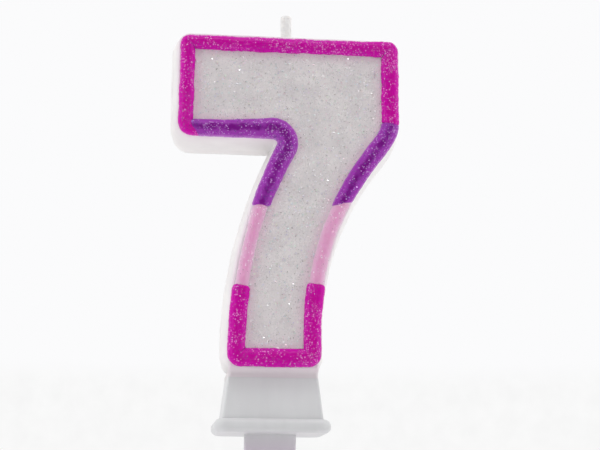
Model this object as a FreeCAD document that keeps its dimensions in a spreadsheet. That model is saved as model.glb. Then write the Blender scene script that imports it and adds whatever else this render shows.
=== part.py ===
"""Number birthday candle: a wax numeral 7 with piped beads, standing in a moulded holder with a stake.

Frame: millimetres, +Z up, +X to the reader's right, the numeral's face towards -Y. The origin is
the centre of the holder flange's underside, which is the level of the cake's top. The plane Y = 0
is the parting plane of the wax mould, and the wick stands in it.
"""

import FreeCAD, Part
import math
import os

import Sketcher

# ---------------------------------------------------------------- driving dimensions

SIZES = {
    # numeral outline, as the outer edge of the piped beads on the face
    "numeral_left": 22.3,        # from the holder's middle out to the arm's left side
    "numeral_right": 27.75,      # from the holder's middle out to the right side
    "numeral_bottom": 14.0,      # height of the foot's lower edge
    "numeral_height": 75.0,
    "arm_height": 24.0,          # the horizontal arm, from its underside to the top
    "foot_width": 20.8,
    "foot_corner": 3.0,
    "top_corner": 2.6,
    "arm_corner": 3.4,           # lower left corner of the arm
    "crook_round": 1.0,          # inside corner between the arm and the leg
    "heel_rise": 6.0,            # straight length of the leg's right side above the foot
    "right_sweep": 62.0,         # radius of the leg's right side
    "leg_lean": 36.2,            # lean of the leg below its shoulder, in degrees from upright
    "shoulder_round": 11.8,
    "left_rise": 1.0,            # straight length of the leg's left side above the foot
    "left_sweep": 104.0,         # radius of the leg's left side
    # wax body: two drafted tiers that meet at the parting plane
    "front_depth": 8.0,
    "rear_depth": 7.5,
    "front_flare": 1.04,         # the front tier grows by this much on every side to the parting plane
    "rear_draft": 0.45,          # the rear tier shrinks by this much to the back
    "back_round": 2.0,
    # piped beads and the glitter coat
    "bead_width": 4.2,
    "bead_height": 1.7,
    "bead_land": 0.1,            # upright wall left under the bead's round
    "coat_thickness": 0.35,
    "foot_bead": 18.1,           # height of the magenta beads above the numeral's lower edge
    "purple_drop": 14.8,         # how far the purple beads come down the leg from the arm's underside
    "purple_rise": 4.7,          # how far the right purple bead goes up past the arm's underside
    # wick
    "braid_radius": 0.75,
    "wick_coat": 0.48,           # thickness of wax on the exposed wick
    "wick_exposed": 6.6,
    "wick_foot": 16.0,           # height of the wick's lower end
    "wick_tip": 0.5,             # wax above the braid's upper end
    "collar_rise": 0.2,          # wax drawn up round the foot of the exposed wick
    "collar_height": 0.8,
    "collar_radius": 1.75,
    # holder
    "flange_width": 25.4,
    "flange_depth": 18.7,
    "flange_thick": 3.0,
    "flange_corner": 3.4,
    "bullnose_land": 0.1,        # upright wall left between the two rounds of the flange's edge
    "rim_width": 19.7,
    "rim_depth": 13.3,
    "rim_height": 11.9,
    "socket_lean": 7.0,          # slope of the socket's outer walls, in degrees
    "socket_corner": 0.5,
    "wall": 1.35,                # socket wall at the rim
    "cavity_depth": 8.0,
    "cavity_draft": 0.14,        # each wall of the cavity leans in by this much, rim to floor
    "tenon_gap": 0.3,            # clearance round the wax tenon and below it
    "neck_draft": 0.2,           # the wax neck widens by this much from the rim to its top
    "grip_rib_width": 0.8,       # low ribs inside the socket that grip the tenon
    "grip_rib_gap": 0.06,        # what is left between a grip rib and the tenon
    "grip_rib_spread": 9.0,      # distance between the two ribs on one wall
    "grip_rib_drop": 1.0,        # the ribs stop this far below the rim
    "stake_width": 11.4,
    "stake_length": 27.0,
    "stake_shoulder": 14.0,      # length over which the stake keeps its width
    "stake_tip": 1.6,
    "stake_thick": 1.8,
    "stake_rib_width": 1.6,
    "stake_rib_thick": 3.2,
    "stake_rib_drop": 6.0,       # from the flange's underside down to the stake's rib
    "stake_round": 0.6,
}

ALONG_X = FreeCAD.Vector(1, 0, 0)
FRONT = FreeCAD.Vector(0, -1, 0)
BACK = FreeCAD.Vector(0, 1, 0)
UPRIGHT = FreeCAD.Rotation(ALONG_X, 90)   # turns a flat XY drawing up to face -Y
REACH = 200.0                             # a length past the whole candle, for cutting tools

doc = FreeCAD.newDocument("number_candle")
sheet = doc.addObject("Spreadsheet::Sheet", "sizes")
for row, (alias, value) in enumerate(SIZES.items(), start=1):
    sheet.set(f"A{row}", alias)
    sheet.set(f"B{row}", str(value))
    sheet.setAlias(f"B{row}", alias)
doc.recompute()


def size(alias):
    """The sheet's value of one driving dimension."""
    return float(sheet.get(alias))


def bind(item, **expressions):
    """Tie properties of an object to the sheet; a double underscore in a name stands for a dot."""
    for name, formula in expressions.items():
        item.setExpression(name.replace("__", "."), str(formula))


def add(kind, name, label=None, **values):
    """A document object with its plain properties set."""
    item = doc.addObject(kind, name)
    item.Label = label or name
    for key, value in values.items():
        setattr(item, key, value)
    return item


# ---------------------------------------------------------------- numeral outline


def point(across, height):
    """A point of an upright drawing."""
    return FreeCAD.Vector(across, height, 0)


def line(start, end):
    return Part.LineSegment(start, end)


def arc(centre, radius, start, end):
    """An arc of a drawing, anticlockwise between two angles in degrees."""
    circle = Part.Circle(centre, FreeCAD.Vector(0, 0, 1), radius)
    return Part.ArcOfCircle(circle, math.radians(start), math.radians(end))


def outline_pieces():
    """The numeral's outline, anticlockwise from the foot's lower edge, as named lines and arcs."""
    half = size("foot_width") / 2
    left, right = -size("numeral_left"), size("numeral_right")
    floor = size("numeral_bottom")
    roof = floor + size("numeral_height")
    under = roof - size("arm_height")
    toe, top, arm = size("foot_corner"), size("top_corner"), size("arm_corner")

    sweep, shoulder, lean = size("right_sweep"), size("shoulder_round"), size("leg_lean")
    turn = math.radians(lean)
    heel_top = floor + toe + size("heel_rise")
    shin_low = point(half + sweep * (1 - math.cos(turn)), heel_top + sweep * math.sin(turn))
    high_x = right - shoulder * (1 - math.cos(turn))
    shin_high = point(high_x, shin_low.y + (high_x - shin_low.x) / math.tan(turn))
    shoulder_z = shin_high.y + shoulder * math.sin(turn)

    crook, left_sweep = size("crook_round"), size("left_sweep")
    rise_top = floor + toe + size("left_rise")
    climb = under - crook - rise_top
    meet = math.degrees(math.asin(climb / (left_sweep + crook)))
    crook_x = -half + left_sweep - math.sqrt((left_sweep + crook) ** 2 - climb**2)

    return {
        "sole": line(point(toe - half, floor), point(half - toe, floor)),
        "toe_right": arc(point(half - toe, floor + toe), toe, -90, 0),
        "heel": line(point(half, floor + toe), point(half, heel_top)),
        "right_sweep": arc(point(half + sweep, heel_top), sweep, 180 - lean, 180),
        "shin": line(shin_low, shin_high),
        "shoulder": arc(point(right - shoulder, shoulder_z), shoulder, -lean, 0),
        "right_side": line(point(right, shoulder_z), point(right, roof - top)),
        "top_right": arc(point(right - top, roof - top), top, 0, 90),
        "top": line(point(right - top, roof), point(left + top, roof)),
        "top_left": arc(point(left + top, roof - top), top, 90, 180),
        "left_side": line(point(left, roof - top), point(left, under + arm)),
        "arm_corner": arc(point(left + arm, under + arm), arm, 180, 270),
        "underside": line(point(left + arm, under), point(crook_x, under)),
        "crook": arc(point(crook_x, under - crook), crook, -meet, 90),
        "left_sweep": arc(point(left_sweep - half, rise_top), left_sweep, 180 - meet, 180),
        "left_rise": line(point(-half, rise_top), point(-half, floor + toe)),
        "toe_left": arc(point(toe - half, floor + toe), toe, 180, 270),
    }


CLOCKWISE = ("right_sweep", "crook")   # arcs that the outline runs against their own sense
ORIGIN = (-1, 1)                       # a sketch's own origin, as geometry and point numbers
RADII = {
    "toe_right": "foot_corner",
    "toe_left": "foot_corner",
    "top_right": "top_corner",
    "top_left": "top_corner",
    "arm_corner": "arm_corner",
    "crook": "crook_round",
    "right_sweep": "right_sweep",
    "shoulder": "shoulder_round",
    "left_sweep": "left_sweep",
}


def measure(sketch, label, formula, value, kind, *place):
    """A named dimension of a sketch, drawn at a value and tied to the sheet."""
    index = sketch.addConstraint(Sketcher.Constraint(kind, *place, value))
    sketch.renameConstraint(index, label)
    sketch.setExpression("Constraints." + label, formula)


def outline_sketch():
    """The outline as a constrained sketch in the parting plane, its sizes tied to the sheet."""
    sketch = add("Sketcher::SketchObject", "numeral_outline")
    sketch.Placement = FreeCAD.Placement(FreeCAD.Vector(), UPRIGHT)
    pieces = outline_pieces()
    sketch.addGeometry(list(pieces.values()), False)
    order = list(pieces)
    number = {name: index for index, name in enumerate(order)}

    def entry(name):
        return number[name], 2 if name in CLOCKWISE else 1

    def exit_(name):
        return number[name], 1 if name in CLOCKWISE else 2

    for name, following in zip(order, order[1:] + order[:1]):
        sketch.addConstraint(Sketcher.Constraint("Tangent", *exit_(name), *entry(following)))
    for name in ("sole", "top", "underside"):
        sketch.addConstraint(Sketcher.Constraint("Horizontal", number[name]))
    for name in ("heel", "right_side", "left_side", "left_rise"):
        sketch.addConstraint(Sketcher.Constraint("Vertical", number[name]))

    half = size("foot_width") / 2
    for label, formula, value, kind, start, end in (
        ("left", "sizes.numeral_left", size("numeral_left"), "DistanceX", entry("left_side"), ORIGIN),
        ("right", "sizes.numeral_right", size("numeral_right"), "DistanceX", ORIGIN,
         entry("right_side")),
        ("half_foot", "sizes.foot_width / 2", half, "DistanceX", ORIGIN, entry("heel")),
        ("other_half", "sizes.foot_width / 2", half, "DistanceX", entry("left_rise"), ORIGIN),
        ("bottom", "sizes.numeral_bottom", size("numeral_bottom"), "DistanceY", ORIGIN,
         entry("sole")),
        ("height", "sizes.numeral_height", size("numeral_height"), "DistanceY", entry("sole"),
         entry("top")),
        ("arm", "sizes.arm_height", size("arm_height"), "DistanceY", entry("underside"),
         entry("top")),
        ("heel", "sizes.heel_rise", size("heel_rise"), "DistanceY", entry("heel"), exit_("heel")),
        ("rise", "sizes.left_rise", size("left_rise"), "DistanceY", exit_("left_rise"),
         entry("left_rise")),
    ):
        measure(sketch, label, formula, value, kind, *start, *end)
    measure(sketch, "lean", "(90 - sizes.leg_lean) * 1 deg", math.radians(90 - size("leg_lean")),
            "Angle", number["shin"])
    for piece, alias in RADII.items():
        measure(sketch, piece + "_radius", "sizes." + alias, size(alias), "Radius", number[piece])
    doc.recompute()
    return sketch


def offset(name, source, formula):
    """A copy of a flat outline, grown (or with a minus sign shrunk) by a bound distance."""
    copy = add("Part::Offset2D", name, Source=source, Join="Intersection")
    bind(copy, Value=formula)
    return copy


def extrusion(name, base, direction, length, narrowing=None, shift=None, label=None):
    """A solid drawn from a flat outline along Y; it may narrow by a draft angle and be shifted."""
    solid = add("Part::Extrusion", name, label, Base=base, DirMode="Custom", Dir=direction, Solid=True)
    bind(solid, LengthFwd=length)
    if narrowing:
        bind(solid, TaperAngle=f"-atan({narrowing} / ({length}))")
    if shift:
        bind(solid, Placement__Base__y=shift)
    return solid


def edges_where(shape, wanted):
    """Numbers of the edges of a shape that pass a test, as fillets take them."""
    return [number for number, edge in enumerate(shape.Edges, start=1) if wanted(edge)]


def flat_at(edge, height, axis="y"):
    """Whether the whole edge lies in the plane across an axis at a given height."""
    box = edge.BoundBox
    low, high = getattr(box, axis.upper() + "Min"), getattr(box, axis.upper() + "Max")
    return abs(low - height) < 1e-4 and abs(high - height) < 1e-4


def rounded(name, base, radius, wanted, label=None):
    """A Part fillet of the edges that pass a test."""
    doc.recompute()
    fillet = add("Part::Fillet", name, label, Base=base)
    fillet.Edges = [(number, radius, radius) for number in edges_where(base.Shape, wanted)]
    return fillet


def tapered_block(name, low, high, bottom, top, label=None):
    """An upright block between two bound heights; bottom and top are its bound widths and depths."""
    block = add("Part::Wedge", name, label)
    block.Placement = FreeCAD.Placement(FreeCAD.Vector(), UPRIGHT)
    bind(block, Placement__Base__z=low, Ymin="0", Ymax=f"{high} - ({low})")
    for ends, (width, depth) in (("{}{}", bottom), ("{}2{}", top)):
        for letter, span in (("X", width), ("Z", depth)):
            bind(block, **{ends.format(letter, "min"): f"-({span}) / 2",
                           ends.format(letter, "max"): f"({span}) / 2"})
    return block


def wick_rod(name, radius, foot, tip, label=None):
    """A cylinder on the wick's line between two bound heights."""
    rod = add("Part::Cylinder", name, label)
    bind(rod, Radius=radius, Height=f"{tip} - ({foot})", Placement__Base__x=WICK_X,
         Placement__Base__z=foot)
    return rod


# ---------------------------------------------------------------- shared formulas

FACE = "-sizes.front_depth"
NUMERAL_TOP = "sizes.numeral_bottom + sizes.numeral_height"
ARM_UNDERSIDE = f"{NUMERAL_TOP} - sizes.arm_height"
WICK_X = "(sizes.numeral_right - sizes.numeral_left) / 2"
COLLAR_TOP = f"{NUMERAL_TOP} + sizes.front_flare + sizes.collar_rise"
WICK_TOP = f"{COLLAR_TOP} + sizes.wick_exposed"
COAT_RADIUS = "sizes.braid_radius + sizes.wick_coat"
CAVITY_FLOOR = "sizes.rim_height - sizes.cavity_depth"
TENON_END = f"{CAVITY_FLOOR} + sizes.tenon_gap"
CAVITY_SPANS = ("sizes.rim_width - 2 * sizes.wall", "sizes.rim_depth - 2 * sizes.wall")


# ---------------------------------------------------------------- numeral


def wax_body(outline):
    """The cast numeral: two drafted tiers, the neck on the socket's rim, the tenon and the wick's bore."""
    parting = offset("parting_outline", outline, "sizes.front_flare")
    front = extrusion("front_tier", parting, FRONT, "sizes.front_depth", "sizes.front_flare")
    rear = extrusion("rear_tier_square", parting, BACK, "sizes.rear_depth", "sizes.rear_draft")
    back = size("rear_depth")
    rear = rounded("rear_tier", rear, size("back_round"), lambda edge: flat_at(edge, back))

    rim = ("sizes.rim_width", "sizes.rim_depth")
    neck = tapered_block("neck", "sizes.rim_height", "sizes.numeral_bottom + sizes.foot_corner",
                         rim, [f"{span} + 2 * sizes.neck_draft" for span in rim])
    root = [f"{span} - 2 * sizes.tenon_gap" for span in CAVITY_SPANS]
    tenon = tapered_block("tenon", TENON_END, "sizes.rim_height",
                          [f"{span} - 2 * sizes.cavity_draft" for span in root], root)
    collar = add("Part::Cone", "wick_collar")
    bind(collar, Radius1="sizes.collar_radius", Radius2=COAT_RADIUS, Height="sizes.collar_height",
         Placement__Base__x=WICK_X, Placement__Base__z=f"{COLLAR_TOP} - sizes.collar_height")
    cast = add("Part::MultiFuse", "casting", Shapes=[front, rear, neck, tenon, collar])
    bore = wick_rod("wick_bore", "sizes.braid_radius", "sizes.wick_foot", WICK_TOP)
    return add("Part::Cut", "wax_body_cut", "wax_body", Base=cast, Tool=bore)


def glitter_panel(outline):
    """The thin glitter coat on the face, inside the beads."""
    inner = offset("panel_outline", outline, "-sizes.bead_width")
    return extrusion("panel", inner, FRONT, "sizes.coat_thickness", shift=FACE,
                     label="glitter_panel")


def bead_ring(outline):
    """The piped ring round the face in one piece: an upright band with both its crest edges rounded."""
    outer = extrusion("bead_outer", outline, FRONT, "sizes.bead_height", shift=FACE)
    inner_outline = offset("bead_inner_outline", outline, "-sizes.bead_width")
    inner = extrusion("bead_inner", inner_outline, FRONT, "sizes.bead_height", shift=FACE)
    band = add("Part::Cut", "bead_band", Base=outer, Tool=inner)
    crest = -size("front_depth") - size("bead_height")
    round_off = min(size("bead_height"), size("bead_width") / 2) - size("bead_land")
    return rounded("bead_ring", band, round_off, lambda edge: flat_at(edge, crest))


def zone(name, low, high, left=(-REACH, -REACH), right=(REACH, REACH)):
    """A cutting block between two heights; each side has its place at the low and the high end."""
    block = add("Part::Wedge", name)
    block.Placement = FreeCAD.Placement(FreeCAD.Vector(), UPRIGHT)
    bind(block, Placement__Base__z=low, Ymin=0, Ymax=f"{high} - ({low})", Xmin=left[0],
         X2min=left[1], Xmax=right[0], X2max=right[1], Zmin=-REACH, Z2min=-REACH, Zmax=REACH,
         Z2max=REACH)
    return block


def leg_middle(height):
    """Formula for a line down the leg: its left sweep, moved half a foot width to the right.

    On a tall numeral it stops short of the bead on the right.
    """
    rise = f"({height} - (sizes.numeral_bottom + sizes.foot_corner + sizes.left_rise))"
    sweep = f"sizes.left_sweep - sqrt(sizes.left_sweep ^ 2 - {rise} ^ 2)"
    return f"min({sweep}; sizes.numeral_right - 2 * sizes.bead_width)"


def beads(outline):
    """The ring parted into its six beads by colour, each a sub-part of its own."""
    ring = bead_ring(outline)
    pink = "sizes.numeral_bottom + sizes.foot_bead"
    purple = f"{ARM_UNDERSIDE} - sizes.purple_drop"
    shoulder = f"{ARM_UNDERSIDE} + sizes.purple_rise"
    pink_middle = (leg_middle(pink), leg_middle(purple))
    purple_middle = (leg_middle(purple), leg_middle(shoulder))
    # The purple bead under the arm starts at a mitre through the arm's lower left corner.
    mitre = ("-sizes.numeral_left - sizes.purple_drop", "-sizes.numeral_left + sizes.arm_height / 2")
    arm_middle = f"{ARM_UNDERSIDE} + sizes.arm_height / 2"
    zones = {
        "bead_magenta_foot": zone("foot_zone", -REACH, pink),
        "bead_pink_left": zone("pink_left_zone", pink, purple, right=pink_middle),
        "bead_pink_right": zone("pink_right_zone", pink, purple, left=pink_middle),
        "bead_purple_left": zone("purple_left_zone", purple, arm_middle, mitre,
                                 (leg_middle(purple), leg_middle(arm_middle))),
        "bead_purple_right": zone("purple_right_zone", purple, shoulder, left=purple_middle),
    }
    parts = [add("Part::Common", name + "_piece", name, Base=ring, Tool=block)
             for name, block in zones.items()]
    rest = add("Part::MultiFuse", "lower_zones", Shapes=list(zones.values()))
    return parts + [add("Part::Cut", "bead_magenta_upper_piece", "bead_magenta_upper",
                        Base=ring, Tool=rest)]


# ---------------------------------------------------------------- wick


def wick():
    """The braided wick, from inside the leg to its tip, and the wax that coats its exposed end."""
    braid_top = f"{WICK_TOP} - sizes.wick_tip"
    braid = wick_rod("braid", "sizes.braid_radius", "sizes.wick_foot", braid_top, "wick_braid")
    core = wick_rod("braid_core", "sizes.braid_radius", "sizes.wick_foot", braid_top)
    dip = wick_rod("dip", COAT_RADIUS, COLLAR_TOP, WICK_TOP)
    tip_round = 0.8 * (size("braid_radius") + size("wick_coat"))
    doc.recompute()
    top = dip.Shape.BoundBox.ZMax
    dip = rounded("dip_rounded", dip, tip_round, lambda edge: flat_at(edge, top, "z"))
    coat = add("Part::Cut", "wick_wax_coat_piece", "wick_wax_coat", Base=dip, Tool=core)
    return [braid, coat]


# ---------------------------------------------------------------- holder


def plane(body, role):
    """One of a body's own origin planes."""
    return next(item for item in body.Origin.OriginFeatures if item.Role == role)


def drawing(body, name, role, lift="0", across="0", along="0"):
    """An empty sketch of a body on one of its origin planes, moved from it by bound distances."""
    sketch = body.newObject("Sketcher::SketchObject", name)
    sketch.AttachmentSupport = (plane(body, role), [""])
    sketch.MapMode = "FlatFace"
    bind(sketch, AttachmentOffset__Base__z=lift, AttachmentOffset__Base__x=across,
         AttachmentOffset__Base__y=along)
    return sketch


def rectangle(sketch, width, depth):
    """A bound rectangle round the sketch's origin."""
    wide, deep = 10.0, 6.0
    corners = [point(-wide, -deep), point(wide, -deep), point(wide, deep), point(-wide, deep)]
    sides = [line(start, end) for start, end in zip(corners, corners[1:] + corners[:1])]
    sketch.addGeometry(sides, False)
    for side in range(4):
        sketch.addConstraint(Sketcher.Constraint("Coincident", side, 2, (side + 1) % 4, 1))
    for side, kind in ((1, "Vertical"), (2, "Horizontal"), (3, "Vertical")):
        sketch.addConstraint(Sketcher.Constraint(kind, side))
    sketch.addConstraint(Sketcher.Constraint("Symmetric", 0, 1, 0, 2, -2))
    measure(sketch, "width", width, 2 * wide, "DistanceX", 0, 1, 0, 2)
    measure(sketch, "depth", depth, 2 * deep, "DistanceY", 1, 1, 1, 2)
    measure(sketch, "near", f"({depth}) / 2", deep, "DistanceY", 0, 1, *ORIGIN)
    return sketch


def feature(body, kind, name, sketch, **formulas):
    """A sketch-based feature of a body with its bound sizes."""
    item = body.newObject("PartDesign::" + kind, name)
    item.Profile = sketch
    bind(item, **formulas)
    return item


def smoothed(body, name, base, radius, wanted):
    """A bound fillet on the edges of a body's last feature that pass a test."""
    doc.recompute()
    fillet = body.newObject("PartDesign::Fillet", name)
    fillet.Base = (base, [f"Edge{number}" for number in edges_where(base.Shape, wanted)])
    bind(fillet, Radius=radius)
    return fillet


def upright_edge(edge):
    """Whether an edge runs more up than across."""
    box = edge.BoundBox
    return box.ZLength > 2 * max(box.XLength, box.YLength)


def holder():
    """One moulding: bullnosed flange, leaning socket with grip ribs, and the ribbed stake."""
    body = add("PartDesign::Body", "holder")

    plate = rectangle(drawing(body, "flange_outline", "XY_Plane"),
                      "sizes.flange_width", "sizes.flange_depth")
    flange = feature(body, "Pad", "flange", plate, Length="sizes.flange_thick")
    flange = smoothed(body, "flange_corners", flange, "sizes.flange_corner", upright_edge)
    flange = smoothed(body, "flange_bullnose", flange, "sizes.flange_thick / 2 - sizes.bullnose_land",
                      lambda edge: not upright_edge(edge))

    lean = "tan(sizes.socket_lean * 1 deg)"
    spread = f"2 * (sizes.rim_height - sizes.flange_thick) * {lean}"
    base = rectangle(drawing(body, "socket_outline", "XY_Plane", "sizes.flange_thick"),
                     f"sizes.rim_width + {spread}", f"sizes.rim_depth + {spread}")
    socket = feature(body, "Pad", "socket", base, Length="sizes.rim_height - sizes.flange_thick",
                     TaperAngle="-sizes.socket_lean")
    plate_top, rim = size("flange_thick"), size("rim_height")
    smoothed(body, "socket_corners", socket, "sizes.socket_corner",
             lambda edge: edge.BoundBox.ZMin > plate_top - 0.01 and edge.BoundBox.ZMax > rim - 0.01
             and edge.BoundBox.ZLength > 1)

    mouth = rectangle(drawing(body, "cavity_outline", "XY_Plane", "sizes.rim_height"), *CAVITY_SPANS)
    feature(body, "Pocket", "cavity", mouth, Length="sizes.cavity_depth",
            TaperAngle="-atan(sizes.cavity_draft / sizes.cavity_depth)")
    for end, side in ((-1, -1), (1, -1), (-1, 1), (1, 1)):
        grip_rib(body, end, side)

    blade = spike(body, "stake", "sizes.stake_width", "sizes.stake_thick", "sizes.flange_thick / 2")
    smoothed(body, "stake_edges", blade, "sizes.stake_round", runs_down)
    spike(body, "stake_rib", "sizes.stake_rib_width", "sizes.stake_rib_thick",
          "sizes.stake_rib_drop", below=True)
    return body


def grip_rib(body, end, side):
    """One low upright rib on a long wall of the cavity; end and side are its signs along X and Y."""
    tooth = "sizes.tenon_gap - sizes.grip_rib_gap"
    outline = drawing(
        body, f"grip_rib_outline_{end + 1}{side + 1}", "XY_Plane", CAVITY_FLOOR,
        f"{end} * sizes.grip_rib_spread / 2",
        f"{side} * (({CAVITY_SPANS[1]}) / 2 - ({tooth}) / 2)",
    )
    rectangle(outline, "sizes.grip_rib_width", tooth)
    feature(body, "Pad", f"grip_rib_{end + 1}{side + 1}", outline,
            Length="sizes.cavity_depth - sizes.grip_rib_drop")


def spike(body, name, width, thick, root, below=False):
    """A flat pointed spike, symmetric about the plane Y = 0, from its root down to the tip.

    The root is a height above the flange's underside, or a depth below it.
    """
    sketch = drawing(body, name + "_outline", "XZ_Plane")
    half, tip = 2.0, 0.5
    shoulder, end, top = 5.0, 9.0, -1.0 if below else 1.0
    corners = [point(-half, top), point(-half, -shoulder), point(-tip, -end), point(tip, -end),
               point(half, -shoulder), point(half, top)]
    sketch.addGeometry([line(a, b) for a, b in zip(corners, corners[1:] + corners[:1])], False)
    for side in range(6):
        sketch.addConstraint(Sketcher.Constraint("Coincident", side, 2, (side + 1) % 6, 1))
    sketch.addConstraint(Sketcher.Constraint("Vertical", 0))
    for left, right in (((0, 1), (4, 2)), ((0, 2), (4, 1)), ((2, 1), (2, 2))):
        sketch.addConstraint(Sketcher.Constraint("Symmetric", *left, *right, -2))
    measure(sketch, "width", width, 2 * half, "DistanceX", 0, 2, 4, 1)
    measure(sketch, "tip", f"{width} * sizes.stake_tip / sizes.stake_width", 2 * tip,
            "DistanceX", 2, 1, 2, 2)
    ends = (0, 1, *ORIGIN) if below else (*ORIGIN, 0, 1)
    measure(sketch, "root", root, 1.0, "DistanceY", *ends)
    measure(sketch, "shoulder", "sizes.stake_shoulder", shoulder, "DistanceY", 0, 2, *ORIGIN)
    measure(sketch, "length", "sizes.stake_length", end, "DistanceY", 2, 1, *ORIGIN)
    pad = feature(body, "Pad", name, sketch, Length=thick)
    pad.SideType = "Symmetric"
    return pad


def runs_down(edge):
    """Whether an edge is one of the stake's long edges, below the flange."""
    box = edge.BoundBox
    return box.ZMax < 0.01 and box.ZLength > size("stake_shoulder") / 2


# ---------------------------------------------------------------- the whole candle


def faults(parts):
    """Names of objects that failed to recompute and of sub-parts without a sound solid."""
    failed = [item.Name for item in doc.Objects if {"Invalid", "Error"} & set(item.State)]
    unsound = [part.Label for part in parts
               if part.Shape.isNull() or not part.Shape.isValid() or len(part.Shape.Solids) != 1]
    return failed + unsound


def main():
    outline = outline_sketch()
    parts = [wax_body(outline), glitter_panel(outline), *beads(outline), *wick(), holder()]
    doc.recompute()
    broken = faults(parts)
    if broken:
        raise RuntimeError("not built soundly: " + ", ".join(broken))
    os.makedirs("parts", exist_ok=True)
    for part in parts:
        part.Shape.exportStep(os.path.join("parts", part.Label + ".step"))
        print(f"{part.Label}: {part.Shape.Volume:.1f} mm3")


main()
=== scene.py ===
"""Number birthday candle: a wax 7 with piped beads and a glitter face, in its moulded holder.

Metres, +Z up, +X to the reader's right, the face towards -Y. The origin is the centre of the
holder flange's underside, and the mould's parting plane is Y = 0. Sizes are written in
millimetres and turned into metres where a mesh is made.
"""

import logging
import math
from dataclasses import dataclass, field
from enum import Enum

import bmesh
import bpy
import numpy as np
from mathutils import Matrix, Vector


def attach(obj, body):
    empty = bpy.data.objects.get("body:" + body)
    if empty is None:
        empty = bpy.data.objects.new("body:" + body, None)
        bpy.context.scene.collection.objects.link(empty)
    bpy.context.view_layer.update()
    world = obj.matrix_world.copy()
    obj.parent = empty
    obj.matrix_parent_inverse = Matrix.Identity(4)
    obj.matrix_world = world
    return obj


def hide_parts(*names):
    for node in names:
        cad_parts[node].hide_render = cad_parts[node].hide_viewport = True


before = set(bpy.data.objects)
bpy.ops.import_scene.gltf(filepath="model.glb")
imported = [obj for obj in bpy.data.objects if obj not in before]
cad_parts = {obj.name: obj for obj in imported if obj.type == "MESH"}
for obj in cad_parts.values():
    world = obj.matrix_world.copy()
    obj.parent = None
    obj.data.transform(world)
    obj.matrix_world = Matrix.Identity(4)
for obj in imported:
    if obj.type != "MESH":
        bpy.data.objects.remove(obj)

log = logging.getLogger("number_candle")
MM = 0.001
MERGE = 0.0001 * MM          # vertices this close are one
NUMERAL = "numeral"          # the CAD body that every wax piece rides on
SEED = 7                     # what the draws for the wax, the coat and the flakes are counted from
FACE = -8.0                  # place of the wax's front face along Y, in millimetres
BEAD_WIDTH = 4.2             # from the outline in to the beads' inner edges, in millimetres

Shell = tuple[np.ndarray, list]   # vertices and faces


# ------------------------------------------------------------------------- meshes


def make_object(name: str, vertices: np.ndarray, faces: list, sharp_above: float = 50.0) -> bpy.types.Object:
    """Puts vertices and faces into a new smooth-shaded object.

    Args:
        name: the object's name.
        vertices: an (n, 3) array in millimetres.
        faces: tuples of vertex numbers, facing outwards.
        sharp_above: edges that turn by more than this many degrees stay sharp.

    Returns:
        The linked object, which sits at the origin.
    """
    mesh = bpy.data.meshes.new(name)
    mesh.from_pydata(np.asarray(vertices, float) * MM, [], faces)
    mesh.validate()
    mesh.shade_smooth()
    mesh.set_sharp_from_angle(angle=math.radians(sharp_above))
    thing = bpy.data.objects.new(name, mesh)
    bpy.context.scene.collection.objects.link(thing)
    return thing


def grid_faces(rows: int, columns: int, closed: bool = False, flipped: bool = False) -> list[tuple[int, ...]]:
    """Quads over a grid of points stored row by row.

    Args:
        rows: number of rows of points.
        columns: number of points in a row.
        closed: whether each row joins its end to its start.
        flipped: whether the quads face the other way.

    Returns:
        One tuple of vertex numbers per quad.
    """
    row = np.arange(rows - 1)[:, None]
    column = np.arange(columns if closed else columns - 1)[None, :]
    beside = (column + 1) % columns
    corners = (row * columns + column, row * columns + beside,
               (row + 1) * columns + beside, (row + 1) * columns + column)
    quads = np.stack([np.broadcast_to(c, (rows - 1, column.size)) for c in corners], -1).reshape(-1, 4)
    return [tuple(quad) for quad in (quads[:, ::-1] if flipped else quads).tolist()]


def patch(grid: np.ndarray, flipped: bool = False) -> Shell:
    """An open sheet over a grid of points, as vertices and faces."""
    return grid.reshape(-1, 3), grid_faces(*grid.shape[:2], flipped=flipped)


def tube(rings: np.ndarray, capped: bool = True) -> Shell:
    """A skin over closed rings, with a point in the middle of each end ring as its cap.

    Args:
        rings: an (n, m, 3) array of n rings with m points each.
        capped: whether the two ends are closed.

    Returns:
        Vertices and faces.
    """
    count, around = rings.shape[:2]
    vertices = rings.reshape(-1, 3)
    faces = grid_faces(count, around, closed=True)
    if capped:
        middles = np.stack([rings[0].mean(0), rings[-1].mean(0)])
        vertices = np.concatenate([vertices, middles])
        low, high, top = count * around, count * around + 1, (count - 1) * around
        faces += [(low, (i + 1) % around, i) for i in range(around)]
        faces += [(high, top + i, top + (i + 1) % around) for i in range(around)]
    return vertices, faces


def joined(*shells: Shell) -> Shell:
    """Several shells as one.

    Args:
        shells: pairs of vertices and faces.

    Returns:
        All their vertices, and all their faces with the numbers moved on to suit.
    """
    faces, start = [], 0
    for vertices, own in shells:
        faces += [tuple(number + start for number in face) for face in own]
        start += len(vertices)
    return np.concatenate([vertices for vertices, _ in shells]), faces


def merge_seams(thing: bpy.types.Object) -> None:
    """Merges the vertices that two patches share, and clears away faces of no area.

    Args:
        thing: the object whose mesh is made of patches that meet edge to edge.
    """
    work = bmesh.new()
    work.from_mesh(thing.data)
    bmesh.ops.remove_doubles(work, verts=work.verts, dist=MERGE)
    bmesh.ops.dissolve_degenerate(work, dist=MERGE, edges=work.edges)
    work.to_mesh(thing.data)
    work.free()


def points_of(thing: bpy.types.Object) -> np.ndarray:
    """An object's vertices, in millimetres."""
    return np.array([vertex.co for vertex in thing.data.vertices]) / MM


def circle(count: int, shift: float = 0.0) -> np.ndarray:
    """Unit directions evenly round a circle, turned on by a share of their spacing."""
    angle = (np.arange(count) + shift) * 2 * math.pi / count
    return np.stack([np.cos(angle), np.sin(angle)], 1)


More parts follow.
